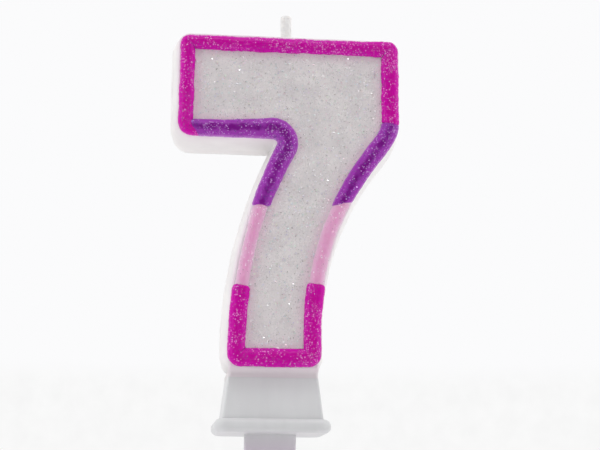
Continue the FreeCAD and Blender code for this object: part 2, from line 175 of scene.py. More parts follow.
def mark(thing: bpy.types.Object, name: str, values: np.ndarray) -> None:
    """Stores one number per vertex as a named attribute that a material can read."""
    layer = thing.data.attributes.new(name, "FLOAT", "POINT")
    layer.data.foreach_set("value", np.asarray(values, np.float32).ravel())


def ripple(along: np.ndarray, wavelength: float, seed: int) -> np.ndarray:
    """Smooth unevenness between about -1 and 1: three sines of unlike length, started at random.

    Args:
        along: places in millimetres.
        wavelength: the longest wave, in millimetres.
        seed: picks the starts of the waves.

    Returns:
        One value per place.
    """
    starts = np.random.default_rng(seed).uniform(0, 2 * math.pi, 3)
    turns = 2 * math.pi * np.asarray(along) / wavelength
    waves = zip((1.0, 1.73, 3.1), (0.5, 0.3, 0.2), starts)
    return sum(share * np.sin(turns * pace + start) for pace, share, start in waves)


# ------------------------------------------------------------------------- outline


@dataclass(frozen=True)
class Bend:
    """One arc of the outline, told by its outward normals.

    Attributes:
        x: the centre's place across.
        z: the centre's height.
        radius: positive where the outline bulges, negative where it caves in.
        start: the outward normal's direction in degrees where the arc starts.
        end: the same where it ends.
    """

    x: float
    z: float
    radius: float
    start: float
    end: float

    def corner(self, grow: float) -> np.ndarray:
        """Where the two straight stretches beside the arc would meet, once grown.

        Args:
            grow: how far the outline has grown outwards.

        Returns:
            The corner, across and up.
        """
        normals = [np.array([math.cos(a), math.sin(a)]) for a in map(math.radians, (self.start, self.end))]
        reach = (self.radius + grow) / (1 + normals[0] @ normals[1])
        return np.array([self.x, self.z]) + reach * (normals[0] + normals[1])

    def points(self, grow: float, shares: np.ndarray) -> np.ndarray:
        """Points on the arc of the grown outline; an arc that has vanished is its corner.

        Args:
            grow: how far the outline has grown outwards.
            shares: places from the arc's start, 0, to its end, 1.

        Returns:
            An (n, 2) array, across and up.
        """
        reach = self.radius + grow
        if reach * self.radius <= 0:
            return np.repeat(self.corner(grow)[None], len(shares), 0)
        angles = np.radians(self.start + (self.end - self.start) * shares)
        return np.array([self.x, self.z]) + reach * np.stack([np.cos(angles), np.sin(angles)], 1)


@dataclass
class Outline:
    """The numeral's outline on its face, the outer edge of the beads, in millimetres.

    It runs anticlockwise as seen from the front, from the middle of the foot's lower edge, up the
    right side, over the arm to the middle of its left side, and back down the left side.
    """

    left: float = -22.3
    right: float = 27.75
    bottom: float = 14.0
    top: float = 89.0
    underside: float = 65.0      # height of the arm's lower edge
    half_foot: float = 10.4      # half the leg's width at its foot
    foot_corner: float = 3.0     # radii of the corners of the foot, the top and the arm's end
    top_corner: float = 2.6
    arm_corner: float = 3.4
    crook_round: float = 1.0     # radius of the crook, under the arm
    heel_top: float = 23.0       # height at which the leg's right side starts to curve
    right_sweep: float = 62.0    # radius of that curve
    leg_lean: float = 36.2       # the leg's lean under the shoulder, in degrees
    shoulder_round: float = 11.8
    rise_top: float = 18.0       # height at which the leg's left side starts to curve
    left_sweep: float = 104.0    # radius of that curve
    samples: int = 24            # points kept on each stretch of the outline
    bends: list[Bend] = field(default_factory=list)

    def __post_init__(self) -> None:
        """Works out the nine arcs, and keeps the outline at 45 growths from 7 mm in to 1.8 mm out."""
        lean = math.radians(self.leg_lean)
        low_x = self.half_foot + self.right_sweep * (1 - math.cos(lean))
        low_z = self.heel_top + self.right_sweep * math.sin(lean)
        high_x = self.right - self.shoulder_round * (1 - math.cos(lean))
        shoulder_z = low_z + (high_x - low_x) / math.tan(lean) + self.shoulder_round * math.sin(lean)
        climb = self.underside - self.crook_round - self.rise_top
        reach = self.left_sweep + self.crook_round
        meet = math.degrees(math.asin(climb / reach))
        crook_x = self.left_sweep - self.half_foot - math.sqrt(reach**2 - climb**2)
        toe, top, arm = self.foot_corner, self.top_corner, self.arm_corner
        self.bends = [
            Bend(self.half_foot - toe, self.bottom + toe, toe, -90, 0),
            Bend(self.half_foot + self.right_sweep, self.heel_top, -self.right_sweep, 0, -self.leg_lean),
            Bend(self.right - self.shoulder_round, shoulder_z, self.shoulder_round, -self.leg_lean, 0),
            Bend(self.right - top, self.top - top, top, 0, 90),
            Bend(self.left + top, self.top - top, top, 90, 180),
            Bend(self.left + arm, self.underside + arm, arm, 180, 270),
            Bend(crook_x, self.underside - self.crook_round, -self.crook_round, 270, 180 - meet),
            Bend(self.left_sweep - self.half_foot, self.rise_top, self.left_sweep, 180 - meet, 180),
            Bend(toe - self.half_foot, self.bottom + toe, toe, 180, 270),
        ]
        middle = 0.5 * (self._stretches(0.0) + self._stretches(-BEAD_WIDTH))
        steps = np.linalg.norm(np.diff(middle, axis=0), axis=1)
        self.places = np.concatenate([[0.0], np.cumsum(steps)])
        self.length = float(self.places[-1])
        self.levels = np.linspace(-7.0, 1.8, 45)
        self.lines = np.stack([self._stretches(level) for level in self.levels])

    def _stretches(self, grow: float) -> np.ndarray:
        """The whole outline grown by a distance, with as many points on every arc and straight run.

        Args:
            grow: the distance, in millimetres.

        Returns:
            An (n, 2) array, across and up.
        """
        shares = np.linspace(0, 1, self.samples)
        arcs = [bend.points(grow, shares) for bend in self.bends]
        sole = 0.5 * (arcs[-1][-1] + arcs[0][0])
        runs = [sole + (arcs[0][0] - sole) * shares[:, None]]
        for arc, following in zip(arcs, arcs[1:]):
            runs += [arc, arc[-1] + (following[0] - arc[-1]) * shares[:, None]]
        runs += [arcs[-1], arcs[-1][-1] + (sole - arcs[-1][-1]) * shares[:, None]]
        return np.concatenate(runs)

    def at(self, places: np.ndarray, grow: np.ndarray | float = 0.0) -> np.ndarray:
        """Points at places along the outline, of the outline grown outwards.

        A point is read between the two nearest of the growths that are kept.

        Args:
            places: millimetres along the middle of the bead, from the middle of the foot's edge.
            grow: how far outwards, or with a minus sign inwards.

        Returns:
            An array with a last axis of two, across and up.
        """
        places, grow = np.broadcast_arrays(np.mod(places, self.length), grow)
        step = self.levels[1] - self.levels[0]
        row = np.clip((grow - self.levels[0]) / step, 0, len(self.levels) - 1.001)
        column = np.interp(places, self.places, np.arange(len(self.places)))
        column = np.minimum(column, len(self.places) - 1.001)
        r, c = row.astype(int), column.astype(int)
        down, along = (row - r)[..., None], (column - c)[..., None]
        low = self.lines[r, c] * (1 - along) + self.lines[r, c + 1] * along
        high = self.lines[r + 1, c] * (1 - along) + self.lines[r + 1, c + 1] * along
        return low * (1 - down) + high * down

    def outward(self, places: np.ndarray) -> np.ndarray:
        """Unit directions (across, up) that point out of the numeral."""
        step = self.at(places, 0.0) - self.at(places, -4.0)
        return step / np.linalg.norm(step, axis=-1, keepdims=True)

    def place_of(self, height: float, right: bool) -> float:
        """The place at which one side of the leg passes a height.

        Args:
            height: in millimetres.
            right: whether it is the right side.

        Returns:
            Millimetres along the outline.
        """
        places = np.linspace(0, self.length, 6000)
        points = self.at(places)
        crossing = np.diff(np.sign(points[:, 1] - height)) != 0
        found = places[:-1][crossing]
        return float(found[0] if right else found[-1])

    def bend_place(self, number: int) -> float:
        """The place of the middle of one of the nine arcs."""
        return float(self.places[int((2 * number + 1.5) * self.samples)])

    def stations(self, spacing: float = 0.6) -> np.ndarray:
        """Places round the outline whose first and second half pair up across the numeral.

        Each half is divided at its inner bend, so that the line from the top right corner to the
        crook joins two paired places and no such line leaves the numeral.

        Args:
            spacing: the greatest distance between places, in millimetres.

        Returns:
            The places, in order.
        """
        corner, arm_end = self.bend_place(3), 0.5 * (self.bend_place(4) + self.bend_place(5))
        crook = self.bend_place(6)
        leg = math.ceil(max(corner, self.length - crook) / spacing)
        arm = math.ceil((arm_end - corner) / spacing)
        return np.concatenate([
            np.linspace(0, corner, leg, endpoint=False),
            np.linspace(corner, arm_end, arm, endpoint=False),
            np.linspace(arm_end, crook, arm, endpoint=False),
            np.linspace(crook, self.length, leg, endpoint=False),
        ])


def leaf(ring: np.ndarray, rows: int) -> np.ndarray:
    """A flat-ish patch that fills a ring: straight lines between its paired points.

    Args:
        ring: an (n, 3) ring, whose point i pairs with point n - i.
        rows: how many points lie on each line, ends included.

    Returns:
        A (rows, n / 2 + 1, 3) grid, whose first and last rows are the ring's two halves.
    """
    half = len(ring) // 2
    near = ring[: half + 1]
    far = np.concatenate([ring[:1], ring[:half - 1:-1]])
    shares = np.linspace(0, 1, rows)[:, None, None]
    return near + (far - near) * shares


def lumps(first: np.ndarray, second: np.ndarray, size: float, seed: int) -> np.ndarray:
    """Smooth bumps between about -1 and 1 over two measures: ten sine waves in random directions.

    Args:
        first: places along one measure, in millimetres.
        second: places along the other.
        size: the mean wavelength, in millimetres.
        seed: picks the waves.

    Returns:
        One value per place.
    """
    rng = np.random.default_rng(seed)
    turn, start = rng.uniform(0, 2 * math.pi, (2, 10))
    pace = 2 * math.pi / (size * rng.uniform(0.6, 1.6, 10))
    x, y = np.asarray(first)[..., None], np.asarray(second)[..., None]
    phase = (x * np.cos(turn) + y * np.sin(turn)) * pace
    return np.sin(phase + start).sum(-1) / math.sqrt(20)


def inside(points: np.ndarray, ring: np.ndarray) -> np.ndarray:
    """Which points lie inside a ring: a line to the right crosses the ring an odd number of times.

    Args:
        points: an (n, 2) array.
        ring: an (m, 2) array.

    Returns:
        One truth value per point.
    """
    start, end = ring, np.roll(ring, -1, 0)
    x, z = points[:, :1], points[:, 1:]
    spans = (start[:, 1] > z) != (end[:, 1] > z)
    rise = np.where(end[:, 1] == start[:, 1], 1e-9, end[:, 1] - start[:, 1])
    crossing = start[:, 0] + (z - start[:, 1]) * (end[:, 0] - start[:, 0]) / rise
    return (spans & (x < crossing)).sum(1) % 2 == 1


# ------------------------------------------------------------------------- materials


def linear(colour: str) -> tuple[float, float, float, float]:
    """An sRGB hex colour as linear red, green, blue and an alpha of one."""
    parts = [int(colour[i:i + 2], 16) / 255 for i in (1, 3, 5)]
    return (*(p / 12.92 if p <= 0.04045 else ((p + 0.055) / 1.055) ** 2.4 for p in parts), 1.0)


def per_metre(size: float) -> float:
    """The texture scale whose cells or bumps are a size in millimetres across."""
    return 1 / (size * MM)


def set_sockets(node: bpy.types.Node, values: dict) -> None:
    """Sets a node's sockets, or links them.

    Args:
        node: the node.
        values: what goes into its sockets, by name or number: a value, or the socket to link.
    """
    for name, value in values.items():
        if isinstance(value, bpy.types.NodeSocket):
            node.id_data.links.new(value, node.inputs[name])
        else:
            node.inputs[name].default_value = value


def add_node(tree: bpy.types.NodeTree, kind: str, inputs: dict | None = None, **settings) -> bpy.types.Node:
    """Adds a node to a tree.

    Args:
        tree: the node tree.
        kind: the node's type, without the ShaderNode at its start.
        inputs: what goes into its sockets, by name or number: a value, or the socket to link.
        settings: the node's own properties.

    Returns:
        The node.
    """
    node = tree.nodes.new("ShaderNode" + kind)
    for name, value in settings.items():
        setattr(node, name, value)
    set_sockets(node, inputs or {})
    return node


def clouded(tree: bpy.types.NodeTree, where: bpy.types.NodeSocket, size: float, detail: float,
            low: str, high: str) -> bpy.types.NodeSocket:
    """One colour clouded into another by soft noise.

    Args:
        tree: the node tree.
        where: the coordinates.
        size: how far apart the clouds are, in millimetres.
        detail: how many finer layers of noise they have.
        low: one colour.
        high: the other.

    Returns:
        The colour's socket.
    """
    clouds = add_node(tree, "TexNoise", {"Vector": where, "Scale": per_metre(size), "Detail": detail})
    spread = add_node(tree, "MapRange", {0: clouds.outputs[0], 1: 0.35, 2: 0.65})
    return add_node(tree, "Mix", {0: spread.outputs[0], 6: linear(low), 7: linear(high)},
                    data_type="RGBA").outputs[2]


def ramp(tree: bpy.types.NodeTree, value: bpy.types.NodeSocket, start: float, end: float,
         low: float = 0.0, high: float = 1.0) -> bpy.types.NodeSocket:
    """A share that runs straight from low to high between two places given in millimetres.

    Args:
        tree: the node tree.
        value: a place along one axis, in metres.
        start: where the share is low.
        end: where it is high.
        low: the share at the start.
        high: the share at the end.

    Returns:
        The share's socket.
    """
    return add_node(tree, "MapRange", {0: value, 1: start * MM, 2: end * MM, 3: low, 4: high}).outputs[0]


@dataclass(frozen=True)
class Finish:
    """A material with one Principled shader, which each kind of finish dresses in its own way."""

    name: str

    def material(self) -> bpy.types.Material:
        """The finish's material, made once.

        Returns:
            The material.
        """
        made = bpy.data.materials.get(self.name)
        if made is None:
            made = bpy.data.materials.new(self.name)
            made.use_nodes = True
            made.node_tree.nodes.clear()
            shader = add_node(made.node_tree, "BsdfPrincipled")
            add_node(made.node_tree, "OutputMaterial", {"Surface": shader.outputs[0]})
            where = add_node(made.node_tree, "TexCoord").outputs["Object"]
            set_sockets(shader, self.sockets(made.node_tree, where))
        return made

    def sockets(self, tree: bpy.types.NodeTree, where: bpy.types.NodeSocket) -> dict:
        """Adds the finish's patterns.

        Args:
            tree: the material's nodes.
            where: the piece's own coordinates, in metres.

        Returns:
            What goes into the shader's sockets.
        """
        raise NotImplementedError

    def put_on(self, *things: bpy.types.Object) -> None:
        """Makes this the only material of some objects.

        Args:
            things: the objects.
        """
        for thing in things:
            thing.data.materials.clear()
            thing.data.materials.append(self.material())


@dataclass(frozen=True)
class CastParaffin(Finish):
    """White paraffin wax cast in a mould: milky, light goes a few millimetres in, and a satin skin.

    The colour clouds over 7 mm, and the skin has 0.5 mm dimples on top of 6 mm sink waves. Where
    the stored share is high, a pink glow and shade from the beads is painted into the wax. The
    back half is painted lighter, as painted light, and the neck is painted grey, as painted shade
    under the foot bead.
    """

    name: str = "cast_white_paraffin"
    light: str = "#EDEBEA"
    dull: str = "#E4E1E1"
    # painted light: the back half of the wax is painted lighter
    painted_rear_light: str = "#F5F3F2"
    # painted shade: the neck under the foot bead is painted grey
    painted_neck_shade: str = "#D5D3D2"
    # painted pink glow and shade from the beads, beside them and under the foot bead
    bead_dye_and_glow_tint: str = "#DEC3D7"
    cloud: float = 7.0
    dimple: float = 0.5
    sink_wave: float = 6.0
    painted_rear_light_from: tuple[float, float] = (-1.5, 3.0)    # places along Y over which the painted light on the back half begins
    neck_starts: tuple[float, float] = (14.8, 13.0)  # heights over which the painted shade on the neck begins
    neck_ends: tuple[float, float] = (11.6, 11.9)    # heights over which it ends, at the rim

    def sockets(self, tree: bpy.types.NodeTree, where: bpy.types.NodeSocket) -> dict:
        """White clouded with grey, with painted light on the back half, painted shade on the neck and a
        painted pink glow and shade beside the beads, over dimples and sink waves.

        Args:
            tree: the material's nodes.
            where: the piece's own coordinates, in metres.

        Returns:
            What goes into the shader's sockets.
        """
        axes = add_node(tree, "SeparateXYZ", {0: where})
        colour = clouded(tree, where, self.cloud, 3.0, self.dull, self.light)
        # painted shade on the neck, between the two height ramps
        low = ramp(tree, axes.outputs[2], *self.neck_starts, high=0.9)
        above = ramp(tree, axes.outputs[2], *self.neck_ends, low=0.2)
        neck_shade_share = add_node(tree, "Math", {0: low, 1: above}, operation="MULTIPLY")
        # the stored share of painted pink glow and shade from the beads
        bead_dye_and_glow = add_node(tree, "Attribute", attribute_name="bead_dye_and_glow")
        # painted light on the back half, painted shade on the neck, and painted pink glow and shade from the
        # beads
        for share, tint in ((ramp(tree, axes.outputs[1], *self.painted_rear_light_from, high=0.8), self.painted_rear_light),
                            (neck_shade_share.outputs[0], self.painted_neck_shade), (bead_dye_and_glow.outputs["Fac"], self.bead_dye_and_glow_tint)):
            colour = add_node(tree, "Mix", {0: share, 6: colour, 7: linear(tint)},
                              data_type="RGBA").outputs[2]
        dimples = add_node(tree, "TexNoise", {"Vector": where, "Scale": per_metre(self.dimple),
                                              "Detail": 2.0})
        sink = add_node(tree, "TexNoise", {"Vector": where, "Scale": per_metre(self.sink_wave)})
        fine = add_node(tree, "Bump", {"Strength": 0.12, "Distance": 0.05 * MM, "Height": dimples.outputs[0]})
        broad = add_node(tree, "Bump", {"Strength": 0.5, "Distance": 0.25 * MM, "Height": sink.outputs[0],
                                        "Normal": fine.outputs[0]})
        rough = add_node(tree, "MapRange", {0: dimples.outputs[0], 3: 0.38, 4: 0.56})
        return {"Base Color": colour, "Roughness": rough.outputs[0], "IOR": 1.44, "Specular IOR Level": 0.25,
                "Subsurface Weight": 0.4, "Subsurface Radius": (1.0, 0.95, 0.92),
                "Subsurface Scale": 1.0 * MM, "Normal": broad.outputs[0]}


@dataclass(frozen=True)
class GlitterGelCoat(Finish):
    """Clear gel wax with fine pearl glitter, brushed on: pale grey, speckled all over, soft gloss.

    Real film flakes are 0.1 to 0.2 mm. The speckle has cells of 0.34 mm and 0.8 mm, because finer
    ones would not show. The gel clouds over 5 mm and has 2.5 mm brush waves. Beside the beads
    their tint has bled into it.
    """

    name: str = "pearl_glitter_gel"
    gel: str = "#DBD6D6"
    shade: str = "#D1CCCD"
    bead_dye_and_glow_tint: str = "#DABFCD"
    fine_cell: float = 0.34
    coarse_cell: float = 0.8
    cloud: float = 5.0
    brush_wave: float = 2.5

    def sockets(self, tree: bpy.types.NodeTree, where: bpy.types.NodeSocket) -> dict:
        """Cloudy gel, then fine flakes of every hue, then sparse bright and dark ones.

        Args:
            tree: the material's nodes.
            where: the piece's own coordinates, in metres.

        Returns:
            What goes into the shader's sockets.
        """
        bead_dye_and_glow = add_node(tree, "Attribute", attribute_name="bead_dye_and_glow")
        colour = add_node(tree, "Mix", {
            0: bead_dye_and_glow.outputs["Fac"], 6: clouded(tree, where, self.cloud, 4.0, self.shade, self.gel),
            7: linear(self.bead_dye_and_glow_tint)}, data_type="RGBA").outputs[2]
        masks = []
        for cell, rarity, strength, sheen in ((self.fine_cell, 0.35, 0.42, 0.1),
                                              (self.coarse_cell, 0.7, 0.5, 0.16)):
            flakes = add_node(tree, "TexVoronoi", {"Vector": where, "Scale": per_metre(cell)})
            chance = add_node(tree, "SeparateColor", {0: flakes.outputs["Color"]})
            film = add_node(tree, "MapRange", {0: chance.outputs[1], 3: 0.28, 4: 1.0})
            hue = add_node(tree, "CombineColor", {0: chance.outputs[0], 1: sheen, 2: film.outputs[0]},
                           mode="HSV")
            near = add_node(tree, "MapRange", {0: flakes.outputs["Distance"], 1: 0.42, 2: 0.3})
            picked = add_node(tree, "Math", {0: chance.outputs[2], 1: rarity}, operation="GREATER_THAN")
            mask = add_node(tree, "Math", {0: near.outputs[0], 1: picked.outputs[0]}, operation="MULTIPLY")
            share = add_node(tree, "Math", {0: mask.outputs[0], 1: strength}, operation="MULTIPLY")
            colour = add_node(tree, "Mix", {0: share.outputs[0], 6: colour, 7: hue.outputs[0]},
                              data_type="RGBA").outputs[2]
            masks.append(mask.outputs[0])
        relief = add_node(tree, "Math", {0: masks[0], 1: masks[1]}, operation="ADD")
        bump = add_node(tree, "Bump", {"Strength": 0.5, "Distance": 0.06 * MM, "Height": relief.outputs[0]})
        waves = add_node(tree, "TexNoise", {"Vector": where, "Scale": per_metre(self.brush_wave)})
        brushed = add_node(tree, "Bump", {"Strength": 0.4, "Distance": 0.12 * MM, "Height": waves.outputs[0],
                                          "Normal": bump.outputs[0]})
        return {"Base Color": colour, "Roughness": 0.4, "IOR": 1.45, "Specular IOR Level": 0.3,
                "Subsurface Weight": 0.25, "Subsurface Radius": (1.0, 0.95, 0.92),
                "Subsurface Scale": 1.2 * MM, "Normal": brushed.outputs[0]}


@dataclass(frozen=True)
class TintedGel(Finish):
    """Dyed gel wax with glitter, piped hot: a clear deep colour where it is thick, paler where thin.

    The stored depth is 0 at the bead's edges and 1 on its crest. Blotches are 1.5 mm, where the dye
    pooled. The glitter in the gel has 0.36 mm cells and lies in drifts 6 mm across, and the skin
    has 0.9 mm ripples.
    """

    core: str
    middle: str
    edge: str
    spark: str
    glitter: float               # share of the glitter cells that show
    melt: float                  # how much light goes through the gel
    pooling: float               # how far the blotches shift the depth
    films: tuple[str, ...]       # tints of the loose flakes that lie in the gel
    shell: float = 0.72          # depth at which the core's colour begins
    flakes_per_mm: float = 18.0  # loose flakes for each millimetre of a bead
    blotch: float = 1.5
    cell: float = 0.36
    drift: float = 6.0
    skin_ripple: float = 0.9

    def sockets(self, tree: bpy.types.NodeTree, where: bpy.types.NodeSocket) -> dict:
        """Edge, middle and core colours by depth and blotch, with glitter over them.

        Args:
            tree: the material's nodes.
            where: the piece's own coordinates, in metres.

        Returns:
            What goes into the shader's sockets.
        """
        depth = add_node(tree, "Attribute", attribute_name="depth").outputs["Fac"]
        blotch = add_node(tree, "TexNoise", {"Vector": where, "Scale": per_metre(self.blotch), "Detail": 3.0})
        sway = add_node(tree, "MapRange", {0: blotch.outputs[0], 1: 0.3, 2: 0.7, 3: -self.pooling,
                                           4: self.pooling})
        thick = add_node(tree, "Math", {0: depth, 1: sway.outputs[0]}, operation="ADD")
        rim = add_node(tree, "MapRange", {0: thick.outputs[0], 1: 0.0, 2: 0.6})
        heart = add_node(tree, "MapRange", {0: thick.outputs[0], 1: self.shell, 2: 1.0})
        outer = add_node(tree, "Mix", {0: rim.outputs[0], 6: linear(self.edge), 7: linear(self.middle)},
                         data_type="RGBA")
        colour = add_node(tree, "Mix", {0: heart.outputs[0], 6: outer.outputs[2], 7: linear(self.core)},
                          data_type="RGBA")
        flakes = add_node(tree, "TexVoronoi", {"Vector": where, "Scale": per_metre(self.cell)})
        chance = add_node(tree, "SeparateColor", {0: flakes.outputs["Color"]})
        near = add_node(tree, "MapRange", {0: flakes.outputs["Distance"], 1: 0.58, 2: 0.38})
        patches = add_node(tree, "TexNoise", {"Vector": where, "Scale": per_metre(self.drift), "W": 3.0},
                           noise_dimensions="4D")
        rare = add_node(tree, "MapRange", {0: patches.outputs[0], 1: 0.4, 2: 0.6, 3: 1.0,
                                           4: 1.0 - self.glitter})
        picked = add_node(tree, "Math", {0: chance.outputs[2], 1: rare.outputs[0]}, operation="GREATER_THAN")
        mask = add_node(tree, "Math", {0: near.outputs[0], 1: picked.outputs[0]}, operation="MULTIPLY")
        share = add_node(tree, "Math", {0: mask.outputs[0], 1: chance.outputs[1]}, operation="MULTIPLY")
        flecked = add_node(tree, "Mix", {0: share.outputs[0], 6: colour.outputs[2], 7: linear(self.spark)},
                           data_type="RGBA")
        fine = add_node(tree, "Bump", {"Strength": 0.4, "Distance": 0.05 * MM, "Height": mask.outputs[0]})
        skin = add_node(tree, "TexNoise", {"Vector": where, "Scale": per_metre(self.skin_ripple),
                                           "Detail": 2.0})
        bump = add_node(tree, "Bump", {"Strength": 0.35, "Distance": 0.08 * MM, "Height": skin.outputs[0],
                                       "Normal": fine.outputs[0]})
        return {"Base Color": flecked.outputs[2], "Roughness": 0.18, "IOR": 1.46, "Specular IOR Level": 0.1,
                "Subsurface Weight": self.melt, "Subsurface Radius": (1.0, 0.5, 0.9),
                "Subsurface Scale": 0.9 * MM, "Normal": bump.outputs[0]}


@dataclass(frozen=True)
class GlitterFilm(Finish):
    """Cut metallised polyester film, the glitter itself: a small crinkled mirror of one tint."""

    tint: str
    gloss: float = 0.25
    crinkle: float = 0.15

    def sockets(self, tree: bpy.types.NodeTree, where: bpy.types.NodeSocket) -> dict:
        """A plain tint, with 0.15 mm crinkles that break up the shine.

        Args:
            tree: the material's nodes.
            where: the piece's own coordinates, in metres.

        Returns:
            What goes into the shader's sockets.
        """
        crinkles = add_node(tree, "TexNoise", {"Vector": where, "Scale": per_metre(self.crinkle)})
        bump = add_node(tree, "Bump", {"Strength": 0.3, "Distance": 0.02 * MM, "Height": crinkles.outputs[0]})
        return {"Base Color": linear(self.tint), "Metallic": 0.7, "Roughness": self.gloss,
                "Normal": bump.outputs[0]}


@dataclass(frozen=True)
class WaxedCotton(Finish):
    """Cotton wick dipped in paraffin: dull white thread lines showing through a thin waxy skin.

    Real thread is 0.45 mm apart. The bands are about 1 mm apart, because finer ones would not show
    under the wax. The fluff on them is 0.25 mm.
    """

    name: str = "wax_dipped_cotton"
    thread: str = "#F0EFEE"
    gap: str = "#E2E1E0"
    pitch: float = 1.025
    fluff: float = 0.25

    def sockets(self, tree: bpy.types.NodeTree, where: bpy.types.NodeSocket) -> dict:
        """Slanting thread bands in the colour and the bump, blurred by the wax over them.

        A diagonal wave repeats each time x + y + z grows by 2 pi / 10, which is that divided by the
        square root of 3 from band to band.

        Args:
            tree: the material's nodes.
            where: the piece's own coordinates, in metres.

        Returns:
            What goes into the shader's sockets.
        """
        bands = add_node(tree, "TexWave", {
            "Vector": where, "Scale": per_metre(self.pitch) * 2 * math.pi / 10 / math.sqrt(3),
            "Distortion": 1.5, "Detail": 2.0}, bands_direction="DIAGONAL")
        fluff = add_node(tree, "TexNoise", {"Vector": where, "Scale": per_metre(self.fluff), "Detail": 3.0})
        blend = add_node(tree, "Math", {0: bands.outputs[1], 1: fluff.outputs[0]}, operation="MULTIPLY")
        colour = add_node(tree, "Mix", {0: blend.outputs[0], 6: linear(self.gap), 7: linear(self.thread)},
                          data_type="RGBA")
        bump = add_node(tree, "Bump", {"Strength": 0.4, "Distance": 0.06 * MM, "Height": blend.outputs[0]})
        return {"Base Color": colour.outputs[2], "Roughness": 0.5, "Subsurface Weight": 0.4,
                "Subsurface Radius": (1.0, 0.95, 0.9), "Subsurface Scale": 0.6 * MM,
                "Normal": bump.outputs[0]}


@dataclass(frozen=True)
class MouldedPolypropylene(Finish):
    """Natural white polypropylene, injection moulded: milky, a little see-through, with a soft sheen.

    Flow from the gate leaves faint upright streaks about 3 mm apart, and the tool's spark finish a
    0.25 mm grain. The stake is painted lilac, as painted shade under the flange with a painted pink
    reflection of the beads, from half a millimetre above the flange's underside to 4 mm below it.
    """

    name: str = "moulded_polypropylene"
    light: str = "#D4D5D6"
    streak: str = "#D0D1D2"
    # painted shade and pink reflection on the stake under the flange
    lilac: str = "#CEC4CF"
    flow: float = 3.0
    grain: float = 0.25
    painted_stake_shade_from: tuple[float, float] = (0.5, -4.0)    # heights over which the painted lilac shade and reflection on the stake begins

    def sockets(self, tree: bpy.types.NodeTree, where: bpy.types.NodeSocket) -> dict:
        """Streaks stretched upwards, a painted lilac shade and reflection on the stake, and a fine grain.

        Args:
            tree: the material's nodes.
            where: the piece's own coordinates, in metres.

        Returns:
            What goes into the shader's sockets.
        """
        long = add_node(tree, "Mapping", {"Vector": where, "Scale": (1.0, 1.0, 0.15)})
        height = add_node(tree, "SeparateXYZ", {0: where})
        # the stake below the flange gets the painted lilac shade and reflection
        colour = add_node(tree, "Mix", {
            0: ramp(tree, height.outputs[2], *self.painted_stake_shade_from),
            6: clouded(tree, long.outputs[0], self.flow, 3.0, self.streak, self.light),
            7: linear(self.lilac)}, data_type="RGBA")
        grain = add_node(tree, "TexNoise", {"Vector": where, "Scale": per_metre(self.grain), "Detail": 2.0})
        bump = add_node(tree, "Bump", {"Strength": 0.12, "Distance": 0.03 * MM, "Height": grain.outputs[0]})
        return {"Base Color": colour.outputs[2], "Roughness": 0.36, "IOR": 1.49, "Specular IOR Level": 0.3,
                "Subsurface Weight": 0.2, "Subsurface Radius": (1.0, 0.95, 1.0),
                "Subsurface Scale": 0.8 * MM, "Normal": bump.outputs[0]}


@dataclass(frozen=True)
class PaleFloor(Finish):
    """White foam board: matt, with a faint grain of 3 mm beads."""

    name: str = "pale_foam_board"
    light: str = "#F6F5F6"
    dark: str = "#EFEEEF"
    bead: float = 3.0

    def sockets(self, tree: bpy.types.NodeTree, where: bpy.types.NodeSocket) -> dict:
        """Two near whites in rounded cells.

        Args:
            tree: the material's nodes.
            where: the piece's own coordinates, in metres.

        Returns:
            What goes into the shader's sockets.
        """
        beads = add_node(tree, "TexVoronoi", {"Vector": where, "Scale": per_metre(self.bead)})
        colour = add_node(tree, "Mix", {0: beads.outputs["Distance"], 6: linear(self.light),
                                        7: linear(self.dark)}, data_type="RGBA")
        return {"Base Color": colour.outputs[2], "Roughness": 0.8}


class Tint(Enum):
    """The three colours of piped gel."""

    MAGENTA = TintedGel("magenta_gel", "#BC0092", "#C600A2", "#D22EB4", "#E68ED2", 0.6, 0.15, 0.1,
                        films=("#F0C8E8", "#DA72C8", "#C84CB8", "#F6E6F4", "#A83CA6"))
    PURPLE = TintedGel("purple_gel", "#720A7E", "#9A38AA", "#C482D0", "#C894D6", 0.5, 0.15, 0.06, shell=0.86,
                       films=("#D2A6DE", "#A56CC0", "#8A54B0", "#E6D4F0", "#6A54A8"))
    PINK = TintedGel("pale_pink_gel", "#DC9EC4", "#DDADCB", "#E0CED9", "#F3E2EE", 0.3, 0.4, 0.1,
                     flakes_per_mm=3.0, films=("#F6E4F0", "#F1C3DE", "#E6B4D6", "#FBF4F9", "#D9A0CC"))


PANEL_FILMS = tuple(GlitterFilm(f"{kind}_glitter_film", tint, gloss) for kind, tint, gloss in (
    ("silver", "#F7F6F8", 0.2), ("pearl", "#DCD6DB", 0.4), ("rose", "#D9BCC7", 0.3),
    ("aqua", "#BACFCC", 0.3), ("lilac", "#C0B8D2", 0.3), ("graphite", "#9E9898", 0.35)))

GEL_SHARES = (0.07, 0.33, 0.32, 0.04, 0.24)      # of a bead's loose flakes, one for each of its films


# ------------------------------------------------------------------------- glitter


